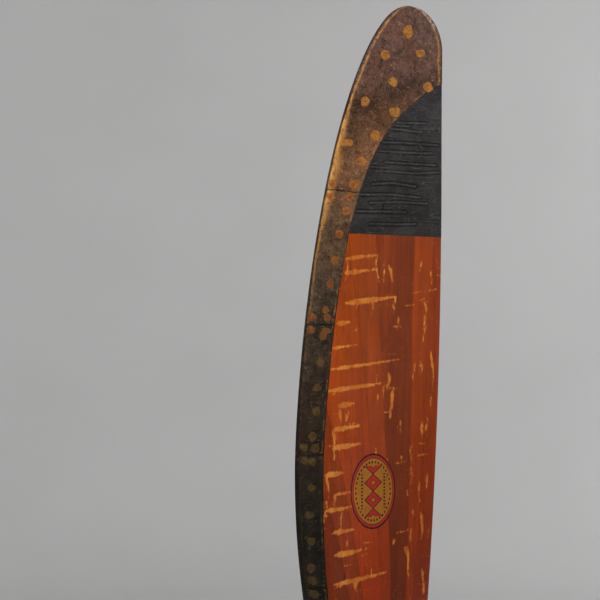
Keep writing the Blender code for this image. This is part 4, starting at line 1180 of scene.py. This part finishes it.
def sheath_mesh(start, end, step, spaces, tip):
    """One section of sheath, from start to end, over the leading edge. The tip's wraps the whole blade."""
    count = max(2, round((end - start) / step) + 1)
    if tip:
        root = np.linspace(math.sqrt(OUTERMOST), math.sqrt(0.03), 24)
        stations = np.concatenate([root**2, np.arange(0.032, end, step), [end]])
        stations = np.sort(np.concatenate([stations, [SHEATH_WRAPS_UNTIL]]))
        welded = int(np.searchsorted(stations, SHEATH_WRAPS_UNTIL)) + 1
    else:
        stations, welded = np.linspace(start, end, count), 0
    t = np.linspace(-1.0, 1.0, 2 * spaces + 1)
    sides = np.where(t < 0, FRONT, BACK)
    sides[spaces] = NOSE
    edge = Sections(stations).sheath_share[:, None]
    wobble = np.array([noise.noise(Vector((station * 42, 3.0, 0.0))) for station in stations])[:, None]
    narrow = (stations > SHEATH_WRAPS_UNTIL + 0.004)[:, None]
    edge = edge + np.where(narrow, 0.0006 * wobble, 0.0) / Sections(stations).run[:, None]
    shares = edge * (1 - np.cos(math.pi * np.abs(t))) / 2
    # A seam runs a little up towards the leading edge.
    tilt = 0.004 * (0.5 - shares / edge)
    near_ends = 1 - smooth_step(np.abs(stations[:, None] - SHEATH_SEAMS[0]), 0.0, 0.03)
    grid = Sections(stations[:, None] - tilt * near_ends)
    run = grid.run
    to_edge = np.where(edge < 0.999, (edge - shares) * run, 0.1)
    to_end = np.full(to_edge.shape, 0.1)
    if not tip:
        to_end = np.minimum(to_end, (stations - stations[0])[:, None])
    to_end = np.minimum(to_end, (stations[-1] - stations)[:, None])
    beside_fabric = (stations < FABRIC_ENDS_AT)[:, None]
    border = np.where(beside_fabric, 0.00038, 0.00055) * (1 - smooth_step(to_edge, 0.0, 0.003))
    border = np.maximum(border, 0.0004 * (1 - smooth_step(to_end, 0.0, 0.0018)))
    flat = grid.net(shares, sides, 0.0)
    waves = 0.00014 * ripple(flat, 38.0, 2.0) + 0.00005 * ripple(flat, 130.0, 7.0)
    waves = waves * smooth_step(to_edge, 0.0, 0.004)
    outer = grid.net(shares, sides, SHEATH_OUTSIDE, border + waves)
    inner = grid.net(shares, sides, SHEATH_INSIDE)
    marks = {
        "rim": 1000 * np.minimum(np.minimum(to_edge, to_end), 0.02),
        "lead": 1000 * np.maximum(shares, 0.0) * run,
        "trail": 1000 * np.minimum((1 - shares) * run, 0.05),
    }
    return shell_mesh("sheath", outer, inner, welded, marks)


def add_sheaths(material):
    ends = (0.0, *SHEATH_SEAMS, SHEATH_ENDS_AT)
    for index, (start, end) in enumerate(zip(ends, ends[1:])):
        tip = index == 0
        first = start if tip else start + SEAM_GAP / 2
        mesh = sheath_mesh(first, end - SEAM_GAP / 2, 0.0018, 44 if tip else 26, tip)
        mesh.materials.append(material)
        for letter, copy in blade_copies(mesh):
            node = f"tip_sheath_{letter}" if tip else f"edge_sheath_{letter}{index}"
            new_piece(f"brass_{node}", copy, material, "propeller", "sheath_metal", [node])


def cloth_folds(seed):
    """Folds across one face of the fabric, in millimetres: each one's height, width and points.

    Long ones lie 8 to 15 mm apart with short faint ones between them, and a few turn down the grain.
    """
    pick = random.Random(seed)
    folds = []
    radius = 888.0
    while radius > 770:
        leading, trailing = edges_at(radius)
        leading += 30
        room = trailing - leading
        x = leading + room * pick.uniform(0.0, 0.35)
        end = min(x + room * pick.uniform(0.35, 0.9), trailing - 2)
        middle = (x + end) / 2 + pick.uniform(-5, 5), radius + pick.uniform(-1.5, 1.5)
        height = pick.uniform(0.35, 0.6)
        folds.append((height, 1.9, (x, radius), middle, (end, radius + pick.uniform(-2, 1))))
        for _ in range(3):
            x, at = pick.uniform(leading, trailing - 14), radius - pick.uniform(2, 11)
            length = pick.uniform(8, 30)
            folds.append((pick.uniform(0.14, 0.38), pick.uniform(1.1, 1.6), (x, at), (x + length, at - 1)))
        if pick.random() < 0.25:
            x = pick.uniform(leading + 8, leading + 0.5 * room)
            folds.append((-0.35, 1.2, *wandering(pick, x, radius, pick.uniform(10, 20), 3, 4.0)))
        radius -= pick.uniform(8, 15)
    return folds


def fold_height(x, radius, folds):
    """How far folds raise the cloth, in millimetres."""
    raised = np.zeros(x.shape)
    for height, width, *points in folds:
        nearest = np.full(x.shape, 99.0)
        for start, end in zip(points, points[1:]):
            nearest = np.minimum(nearest, along_line(x, radius, start, end)[1])
        ridge = np.exp(-((nearest / (width / 2)) ** 2))
        # The cloth dips just beside its folds.
        dip = 0.6 * np.exp(-(((nearest - 0.9 * width) / (width / 2.4)) ** 2))
        raised += height * (ridge - dip)
    return raised


def fabric_mesh():
    """The doped fabric round the outer blade, from under the tip's sheath to its hem."""
    spaces = 110
    stations = np.concatenate([np.arange(FABRIC_STARTS_AT, FABRIC_ENDS_AT, 0.0008), [FABRIC_ENDS_AT]])
    t = np.concatenate([np.linspace(0.0, 1.0, spaces + 1), np.linspace(1.0, 0.0, spaces + 1)[1:-1]])
    shares = np.broadcast_to((1 + np.cos(math.pi * t)) / 2, (len(stations), len(t)))
    sides = np.concatenate([np.full(spaces, FRONT), [NOSE], np.full(spaces - 1, BACK)])
    tilt = 0.004 * (shares - 0.55) * smooth_step(stations[:, None], FABRIC_ENDS_AT - 0.03, FABRIC_ENDS_AT)
    grid = Sections(stations[:, None] + tilt)
    to_sheath = (shares - grid.sheath_share) * grid.run
    under = 1 - smooth_step(to_sheath, -0.003, -0.0005)
    flat = grid.net(shares, sides, 0.0)
    x, radius = flat[..., 0] * 1000, flat[..., 2] * 1000
    front = np.broadcast_to(sides > 0, x.shape)
    folds = np.where(front, fold_height(x, radius, cloth_folds(21)), fold_height(x, radius, cloth_folds(22)))
    away = smooth_step(to_sheath, 0.0, 0.004) * smooth_step((1 - shares) * grid.chord, 0.0, 0.003)
    folds = folds * away
    waves = 0.12 * ripple(flat, 60.0, 4.0) + 0.08 * ripple(flat, 260.0, 9.0)
    hem = 0.0001 * smooth_step(stations[:, None], FABRIC_ENDS_AT - 0.0015, FABRIC_ENDS_AT)
    sink = under * (FABRIC_UNDER_SHEATH - FABRIC_DEPTH) - (folds + waves * away) / 1000 + hem
    outer = grid.net(shares, sides, FABRIC_DEPTH, sink)
    inner = grid.net(shares, sides, FABRIC_DEPTH + FABRIC_THICKNESS, under * 0.0004)
    rows, columns = outer.shape[:2]
    inside = rows * columns
    faces = grid_faces(rows, columns, closed=True).tolist()
    faces += grid_faces(rows, columns, closed=True, offset=inside, flip=True).tolist()
    for row in (0, rows - 1):
        for k in range(columns):
            a, b = row * columns + k, row * columns + (k + 1) % columns
            faces.append([a, b, b + inside, a + inside])
    bm = bmesh_from_arrays(np.concatenate([outer.reshape(-1, 3), inner.reshape(-1, 3)]), faces)
    mesh = mesh_from_bmesh("fabric", bm, math.radians(60))
    set_attribute(mesh, "ridge", np.tile(folds.ravel(), 2) / 0.5)
    return mesh


def add_fabrics(material):
    mesh = fabric_mesh()
    mesh.materials.append(material)
    sections = Sections(np.linspace(FABRIC_STARTS_AT, FABRIC_ENDS_AT, 60))
    for letter, copy in blade_copies(mesh):
        node = f"tip_fabric_{letter}"
        piece = new_piece(f"doped_{node}", copy, material, "propeller", "black_fabric", [node])


# The tip's rivets, from the tip inwards: distance from the tip, x, and half width and height in millimetres.
RIVETS = (
    (0.029, 0.044, 6.2, 9.0),
    (0.052, 0.0575, 6.2, 5.6),
    (0.055, 0.0185, 6.2, 6.2),
    (0.084, 0.027, 5.6, 5.8),
    (0.106, -0.0035, 5.8, 5.8),
)
SPOT_SINK = 0.0003  # depth of a spot's foot below the sheath's outside
SPOT_EDGE_SINK = 0.00012
SPOT_HEIGHT = 0.36  # millimetres

# Rows of solder spots, in millimetres of radius.
HIGHEST_SPOT = 928
LOWEST_SPOT = 330
LEADING_SPOT = 865
SPOT_PITCH = 27


def blob(bm, layer, place, side, seed):
    """A low ragged dome on blade a at its x, radius, half width and half height, all in millimetres."""
    x, radius, half_width, half_height = place
    pick = random.Random(seed)
    steps, rings = 22, 5
    lobes = [(pick.uniform(0.02, 0.06), pick.uniform(0, 2 * math.pi)) for _ in range(4)]
    angles = np.arange(steps) * 2 * math.pi / steps
    reach = 1 + sum(a * np.sin((n + 2) * angles + phase) for n, (a, phase) in enumerate(lobes))
    shares = np.linspace(1.0, 0.0, rings, endpoint=False)[:, None]
    across = (x + half_width * shares * reach * np.cos(angles)) / 1000
    up = (radius + half_height * shares * reach * np.sin(angles)) / 1000
    depth = SHEATH_OUTSIDE + SPOT_EDGE_SINK - SPOT_HEIGHT / 1000 * (1 - shares**2.6)
    points = on_surface(across, up, side, depth)
    skirt = on_surface(across[:1], up[:1], side, SHEATH_OUTSIDE + SPOT_SINK)
    points = np.concatenate([skirt, points])
    numbers = [[bm.verts.new(point) for point in ring] for ring in points]
    for row, ring in enumerate(numbers):
        for vert in ring:
            vert[layer] = 1.0 if row == 0 else float(shares[row - 1, 0])
    for ring, after in zip(numbers, numbers[1:]):
        for k in range(steps):
            n = (k + 1) % steps
            bm.faces.new((ring[k], ring[n], after[n], after[k]))
    bm.faces.new(numbers[-1])
    bm.faces.new(numbers[0])


def sheath_edges(radius):
    """The x of the sheath's outer and inner edge at a radius, all in millimetres."""
    leading, trailing = edges_at(radius)
    section = Sections(np.array([TIP_RADIUS - radius / 1000]))
    return leading, leading + section.sheath_share[0] * (trailing - leading)


def spot_places(side):
    """Each solder spot's x, radius, half width and half height, in millimetres.

    They form a row along the sheath's inner edge and pairs beside the seams, with one near the tip's nose.
    """
    pick = random.Random(40 + side)
    seams = [1000 * (TIP_RADIUS - seam) for seam in SHEATH_SEAMS]
    radius = HIGHEST_SPOT
    while radius > LOWEST_SPOT:
        if min(abs(radius - seam) for seam in seams) > 12:
            big = 6.2 if radius > seams[0] else 5.0
            x = sheath_edges(radius)[1] - pick.uniform(6.5, 9)
            yield x, radius, big + pick.uniform(-0.4, 1), big + pick.uniform(-0.4, 1)
        radius -= SPOT_PITCH * pick.uniform(0.93, 1.07)
    yield sheath_edges(LEADING_SPOT)[0] + 13, LEADING_SPOT, 7.4, 4.8
    for seam in seams:
        for away in (-7, 7):
            outer, inner = sheath_edges(seam + away)
            yield inner - pick.uniform(5, 8), seam + away, pick.uniform(4.8, 6.0), pick.uniform(4.6, 5.6)
            yield outer + pick.uniform(6, 10), seam + away + 1, pick.uniform(4.6, 5.6), pick.uniform(4.6, 5.6)


def add_solder(material):
    """The solder spots, and the rivets' heads under their solder, on both faces of both blades."""
    for kind in ("solder_spots", "tip_rivets"):
        bm = bmesh.new()
        layer = bm.verts.layers.float.new("dome")
        for side in (FRONT, BACK):
            if kind == "tip_rivets":
                places = [(1000 * x, 1000 * (TIP_RADIUS - d), *halves) for d, x, *halves in RIVETS]
            else:
                places = list(spot_places(side))
            for number, place in enumerate(places):
                blob(bm, layer, place, side, 100 * side + number)
        mesh = mesh_from_bmesh(kind, bm, math.radians(60))
        mesh.materials.append(material)
        for letter, copy in blade_copies(mesh):
            replaced = [f"tip_rivet_{letter}{k}" for k in range(1, 6)] if kind == "tip_rivets" else []
            new_piece(f"{kind}_{letter}", copy, material, "propeller", "solder", replaced)


def add_transfers(material):
    """The oval transfer on each blade's front, a thin film on the varnish."""
    rings, steps = 26, 72
    angles = np.arange(steps) * 2 * math.pi / steps
    share = np.linspace(1.0, 0.0, rings, endpoint=False)[:, None]
    u, v = share * np.cos(angles), share * np.sin(angles)
    x = TRANSFER_CENTRE[0] + TRANSFER_HALF[0] * u
    z = TRANSFER_CENTRE[1] + TRANSFER_HALF[1] * v
    top = on_surface(x, z, FRONT, WOOD_DEPTH - 0.00006)
    under = on_surface(x, z, FRONT, WOOD_DEPTH + 0.00005)
    count = rings * steps
    faces = grid_faces(rings, steps, closed=True).tolist()
    faces += grid_faces(rings, steps, closed=True, offset=count, flip=True).tolist()
    for k in range(steps):
        n = (k + 1) % steps
        faces.append([k, n, n + count, k + count])
    faces.append([count - steps + k for k in range(steps)])
    faces.append([2 * count - steps + k for k in range(steps)][::-1])
    bm = bmesh_from_arrays(np.concatenate([top.reshape(-1, 3), under.reshape(-1, 3)]), faces)
    mesh = mesh_from_bmesh("oval_transfer", bm, math.radians(60))
    set_attribute(mesh, "across", np.tile(u.ravel(), 2))
    set_attribute(mesh, "up", np.tile(v.ravel(), 2))
    mesh.materials.append(material)
    for letter, copy in blade_copies(mesh):
        new_piece(f"oval_transfer_{letter}", copy, material, "propeller", "light_wood", [])


# ---------------------------------------------------------------- hub


HUB_SHARP = math.radians(30)
BOLT_HOLE_IN_STEEL = 0.006
FRONT_FLANGE_THICKNESS = 0.007
REAR_FLANGE = 0.05605, 0.06405  # y of its two faces
BARREL_FLOOR = -0.0496  # y where the shaft nut's room ends
RING_GROOVE = -0.0708, -0.0682
HEXAGON_RADIUS = 0.0101  # of the bolts' heads and the castle nuts, over the corners
CHAMFER = 0.0011
HEAD_HEIGHT = 0.007
BOLT_RADIUS = 0.00555
NUT_COLLAR_FRONT = -0.0677
NUT_FLATS_END = -0.084
NUT_BODY_RADIUS = 0.0238
NUT_THREAD_RADIUS = 0.0165
NUT_FLAT_AT = 0.0211
RING_INSIDE = 0.0246
PIN_WIRE_RADIUS = 0.00095


def add_flanges(material):
    low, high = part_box("front_flange")
    radius, front, near = high[0], low[1], high[1]
    face = near - FRONT_FLANGE_THICKNESS
    profile = (
        (0.0355, near),
        (radius, near),
        (radius, face),
        (0.052, face),
        (0.0465, face - 0.002),
        (0.0455, front),
        (0.0355, front),
    )
    mesh = carve(turned(rounded(profile, 0.0012)), [("DIFFERENCE", hub_hole_mesh(None, BOLT_HOLE_IN_STEEL))])
    smooth(mesh, HUB_SHARP)
    new_piece("steel_front_flange", mesh, material, "propeller", "hub_steel", ["front_flange"])

    low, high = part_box("rear_hub")
    front, rear, radius = low[1], high[1], high[0]
    near, far = REAR_FLANGE
    profile = (
        (0.035, front),
        (0.035, near - 0.001),
        (0.036, near),
        (radius, near),
        (radius, far),
        (0.050, far),
        (0.0415, far + 0.0025),
        (0.038, far + 0.007),
        (0.038, rear),
        (0.0215, rear),
        (0.0175, BARREL_FLOOR),
        (0.029, BARREL_FLOOR),
        (0.029, RING_GROOVE[1]),
        (0.0312, RING_GROOVE[1]),
        (0.0312, RING_GROOVE[0]),
        (0.029, RING_GROOVE[0]),
        (0.029, front),
    )
    bm = bmesh.new()
    cuboid(bm, (-0.004, BARREL_FLOOR + 0.02, 0.010), (0.004, rear + 0.01, 0.0225))
    cutters = [("DIFFERENCE", mesh_from_bmesh("keyway", bm)), ("DIFFERENCE", rear_holes_mesh(near, far))]
    mesh = carve(turned(rounded(profile, 0.0009)), cutters)
    smooth(mesh, HUB_SHARP)
    new_piece("steel_rear_hub", mesh, material, "propeller", "hub_steel", ["rear_hub"])


def rear_holes_mesh(near, far):
    bm = bmesh.new()
    for x, z, _ in bolt_places():
        cylinder(bm, BOLT_HOLE_IN_STEEL, near - 0.005, far + 0.005, BOLT_SIDES, x, z)
    return mesh_from_bmesh("holes", bm)


def hexagon_mesh(radius, low, high, chamfered_low, chamfered_high):
    """A hexagon along Y, its corners turned off at the ends named."""
    bm = bmesh.new()
    cylinder(bm, radius, low, high, 6)
    profile = [(0.0, low, 0.0)]
    for y, inwards, chamfered in ((low, 1, chamfered_low), (high, -1, chamfered_high)):
        plain = [(radius * 1.1, y, 0.0)]
        corners = [(radius * 0.9, y, 0.0), (radius * 1.02, y + inwards * CHAMFER, 0.0)][::inwards]
        profile += corners if chamfered else plain
    profile.append((0.0, high, 0.0))
    lathe = mesh_from_bmesh("lathe", spun(profile, (0, 1, 0), 60))
    return carve(mesh_from_bmesh("hexagon", bm), [("INTERSECT", lathe)], "EXACT")


def threaded_profile(radius, start, end, pitch=0.0012, depth=0.0005):
    """Ridges of a fine thread from start to end, as (radius, y)."""
    points = []
    count = int(abs(end - start) / pitch)
    way = pitch if end > start else -pitch
    for index in range(count):
        y = start + way * index
        points += [(radius, y), (radius - depth, y + way / 2)]
    return points


def bolt_mesh(low, high):
    """A bolt along Y: hexagonal head at the rear and a rounded threaded end at the front."""
    radius, end = BOLT_RADIUS, high - HEAD_HEIGHT + 0.001
    profile = [(0.0, low), (radius - 0.0012, low), (radius - 0.0002, low + 0.0008)]
    profile += threaded_profile(radius, low + 0.001, low + 0.016)
    profile += [(radius, low + 0.017), (radius, end), (0.0, end)]
    shank = mesh_from_bmesh("shank", spun([(r, y, 0.0) for r, y in profile], (0, 1, 0), BOLT_SIDES))
    hexagon = hexagon_mesh(HEXAGON_RADIUS, high - HEAD_HEIGHT, high, False, True)
    mesh = carve(hexagon, [("UNION", shank)], "EXACT")
    smooth(mesh, HUB_SHARP)
    return mesh


def castle_nut_mesh(low, high):
    """A hexagonal nut with six slots across its front."""
    blank = hexagon_mesh(HEXAGON_RADIUS, low, high, True, True)
    bm = bmesh.new()
    cylinder(bm, 0.0057, low - 0.01, high + 0.01, BOLT_SIDES)
    steps = [("DIFFERENCE", mesh_from_bmesh("bore", bm))]
    for index in range(3):
        bm = bmesh.new()
        cuboid(bm, (-0.02, low - 0.01, -0.0015), (0.02, low + 0.0036, 0.0015))
        bmesh.ops.rotate(bm, verts=bm.verts, matrix=Matrix.Rotation(index * math.pi / 3, 3, "Y"))
        steps.append(("DIFFERENCE", mesh_from_bmesh("slot", bm)))
    mesh = carve(blank, steps, "EXACT")
    smooth(mesh, HUB_SHARP)
    return mesh


def swept_tube(line, radius, sides=12):
    """A closed tube along a line of points in the XY plane."""
    line = [Vector(point) for point in line]
    rings = []
    for index, point in enumerate(line):
        before, after = line[max(index - 1, 0)], line[min(index + 1, len(line) - 1)]
        along = (after - before).normalized()
        side = along.cross(Vector((0, 0, 1))).normalized()
        ring = []
        for k in range(sides):
            angle = 2 * math.pi * k / sides
            ring.append(point + radius * (math.cos(angle) * side + math.sin(angle) * Vector((0, 0, 1))))
        rings.append(ring)
    points = np.array([[list(p) for p in ring] for ring in rings])
    return mesh_from_bmesh("tube", bmesh_from_arrays(points, tube_faces(len(rings), sides)), math.radians(50))


def pin_mesh(y):
    """A cotter pin across the bolt at this y: its eye, its shank and a leg bent back over the nut."""
    eye_x, eye_radius, outside, bend = 0.0136, 0.0021, 0.0118, 0.0018
    line = []
    for step in range(25):
        angle = math.radians(150 - 280 * step / 24)
        line.append((eye_x + eye_radius * math.cos(angle), y + eye_radius * math.sin(angle), 0.0))
    line += [(x, y, 0.0) for x in np.linspace(0.0105, -outside + bend, 10)]
    for step in range(1, 7):
        angle = math.pi / 2 * step / 6
        line.append((-outside + bend - bend * math.sin(angle), y + bend - bend * math.cos(angle), 0.0))
    line.append((-outside, y + 0.0065, 0.0))
    return swept_tube(line, PIN_WIRE_RADIUS)


def add_bolts(bolt_steel, pin_wire):
    low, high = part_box("hub_bolt_1")
    nut_low, nut_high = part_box("castle_nut_1")
    bolt = bolt_mesh(low[1], high[1])
    nut = castle_nut_mesh(nut_low[1], nut_high[1])
    pin = pin_mesh(nut_low[1] + 0.0018)
    for number, (x, z, angle) in enumerate(bolt_places(), 1):
        matrix = Matrix.Translation((x, 0.0, z)) @ Matrix.Rotation(math.pi / 2 - angle, 4, "Y")
        for node, mesh, material, slot in (
            (f"hub_bolt_{number}", bolt, bolt_steel, "bolt_steel"),
            (f"castle_nut_{number}", nut, bolt_steel, "bolt_steel"),
            (f"cotter_pin_{number}", pin, pin_wire, "pin_wire"),
        ):
            copy = mesh.copy()
            copy.materials.append(material)
            copy.transform(matrix)
            new_piece(f"detailed_{node}", copy, material, "propeller", slot, [node])


def add_shaft_nut(material):
    low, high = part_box("shaft_nut")
    front, rear = low[1], high[1]
    body, collar, thread = NUT_BODY_RADIUS, high[0], NUT_THREAD_RADIUS
    corners = [(collar, rear), (collar, NUT_COLLAR_FRONT), (body, NUT_COLLAR_FRONT), (body, front)]
    corners.append((thread + 0.001, front))
    profile = rounded(corners, 0.0009)[:-3]
    profile += threaded_profile(thread + 0.0005, front + 0.001, rear - 0.001, 0.0016, 0.0009)
    profile.append((thread + 0.001, rear))
    mesh = turned(profile)
    steps = []
    for index in range(6):
        bm = bmesh.new()
        cuboid(bm, (NUT_FLAT_AT, front - 0.01, -0.03), (0.04, NUT_FLATS_END, 0.03))
        bmesh.ops.rotate(bm, verts=bm.verts, matrix=Matrix.Rotation((index + 0.5) * math.pi / 3, 3, "Y"))
        steps.append(("DIFFERENCE", mesh_from_bmesh("flat", bm)))
    mesh = carve(mesh, steps)
    smooth(mesh, HUB_SHARP)
    new_piece("threaded_shaft_nut", mesh, material, "hub_nut", "hub_steel", ["shaft_nut"])


def add_snap_ring(material):
    """A flat spring ring with a gap."""
    low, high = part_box("snap_ring")
    y, inside, outside = (low[1] + high[1]) / 2, RING_INSIDE, high[0]
    half = (high[1] - low[1]) / 2
    turns = np.radians(np.linspace(3, 332, 140))
    section = [(inside, -half), (outside, -half), (outside, half), (inside, half)]
    section = rounded(section, 0.0004, 2)
    points = np.array([[(r * math.cos(a), y + h, -r * math.sin(a)) for r, h in section] for a in turns])
    bm = bmesh_from_arrays(points, tube_faces(*points.shape[:2]))
    mesh = mesh_from_bmesh("snap_ring", bm)
    new_piece("spring_snap_ring", mesh, material, "propeller", "bolt_steel", ["snap_ring"])


# ---------------------------------------------------------------- stage


def plain_material(name, colour, roughness):
    nodes = Nodes(name, roughness=roughness)
    return nodes.finish(nodes.tone(colour[:3], nodes.noise(1.5), 0.3, 0.7, 0.985, 1.015))


STAGE_RADIUS, STAGE_CURVE, STAGE_HEIGHT = 7.4, 1.2, 7.5
# Each light on the object: name, place, size and power. They all aim at its upper middle.
LIGHTS = (
    ("key", (-2.4, -3.2, 3.0), 2.2, 66),
    ("fill", (3.4, -2.6, 1.4), 2.6, 26),
    ("low", (-0.6, -3.4, -0.4), 2.0, 10),
    ("rear_left", (-3.0, 3.2, 2.2), 2.4, 34),
    ("rear_right", (2.8, 3.2, 1.6), 2.4, 34),
    ("top", (0.0, 0.0, 4.2), 3.0, 34),
)
LIGHTS_AIM = (0.0, 0.0, 0.2)
# Each light on the wall: name, x, y and power.
WALL_LIGHTS = (
    ("wall_left", -2.6, 2.6, 58),
    ("wall_right", 2.6, 2.6, 160),
    ("wall_front_left", -2.6, -2.6, 90),
    ("wall_front_right", 2.6, -2.6, 90),
)
VIEW_WIDTH = 0.6516
CAMERA_PLACE = (-0.0738, -1.7, 0.6956)
SENSOR = 36.0


def add_stage():
    """A pale floor that curves up into a wall all round."""
    floor_z = cad_box[0][2] - 0.002
    profile = [(0.0, 0.0)]
    for step in range(13):
        angle = math.pi / 2 * step / 12
        out, up = STAGE_CURVE * math.sin(angle), STAGE_CURVE * math.cos(angle)
        profile.append((STAGE_RADIUS + out, STAGE_CURVE - up))
    profile.append((STAGE_RADIUS + STAGE_CURVE, STAGE_HEIGHT))
    line = [(radius, 0.0, floor_z + rise) for radius, rise in profile]
    mesh = mesh_from_bmesh("cyclorama", spun(line, (0, 0, 1), ROUND_STEPS, 1e-5), math.radians(60))
    mesh.materials.append(plain_material("pale_floor", srgb(212, 212, 212), 0.9))
    linked("cyclorama", mesh)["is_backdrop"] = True


def add_light(name, location, size, power, aim):
    light = bpy.data.lights.new(name, "AREA")
    light.shape = "SQUARE"
    light.size = size
    light.energy = power
    obj = linked(name, light)
    obj.location = location
    obj.rotation_euler = (Vector(aim) - Vector(location)).to_track_quat("-Z", "Y").to_euler()
    obj.visible_camera = False


def add_lights():
    for light in LIGHTS:
        add_light(*light, LIGHTS_AIM)
    for name, x, y, power in WALL_LIGHTS:
        add_light(name, (x, y, 3.4), 2.0, power, (3 * x, 3 * y, 0.6))
    world = bpy.data.worlds.new("studio")
    bpy.context.scene.world = world
    world.use_nodes = True
    background = world.node_tree.nodes["Background"]
    background.inputs["Color"].default_value = srgb(222, 221, 219)
    background.inputs["Strength"].default_value = 0.35


def add_camera():
    """The camera looks squarely at blade a's outer end."""
    camera = bpy.data.cameras.new("camera")
    camera.sensor_width = SENSOR
    camera.lens = SENSOR * -CAMERA_PLACE[1] / VIEW_WIDTH
    obj = linked("camera", camera)
    obj.location = CAMERA_PLACE
    obj.rotation_euler = (math.pi / 2, 0.0, 0.0)
    bpy.context.scene.camera = obj


def main():
    bpy.context.scene.view_settings.view_transform = "Standard"
    add_camera()
    add_stage()
    add_lights()
    add_boards()
    add_sheaths(sheath_material())
    add_fabrics(fabric_material())
    add_solder(solder_material())
    add_transfers(transfer_material())
    steel = steel_material("hub_steel", srgb(150, 150, 152), 0.9, srgb(104, 98, 90), 900, 1.0)
    bolt_steel = steel_material("bolt_steel", srgb(172, 170, 166), 0.9, srgb(128, 120, 108), 1600, 2.0)
    pin_wire = steel_material("pin_wire", srgb(176, 172, 164), 0.9, srgb(120, 108, 92), 2500, 3.0)
    add_flanges(steel)
    add_bolts(bolt_steel, pin_wire)
    add_shaft_nut(steel)
    add_snap_ring(bolt_steel)
    made_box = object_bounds()
    boxes = (("cad", cad_box), ("visual", made_box))
    {name: [list(corner) for corner in box] for name, box in boxes}


main()
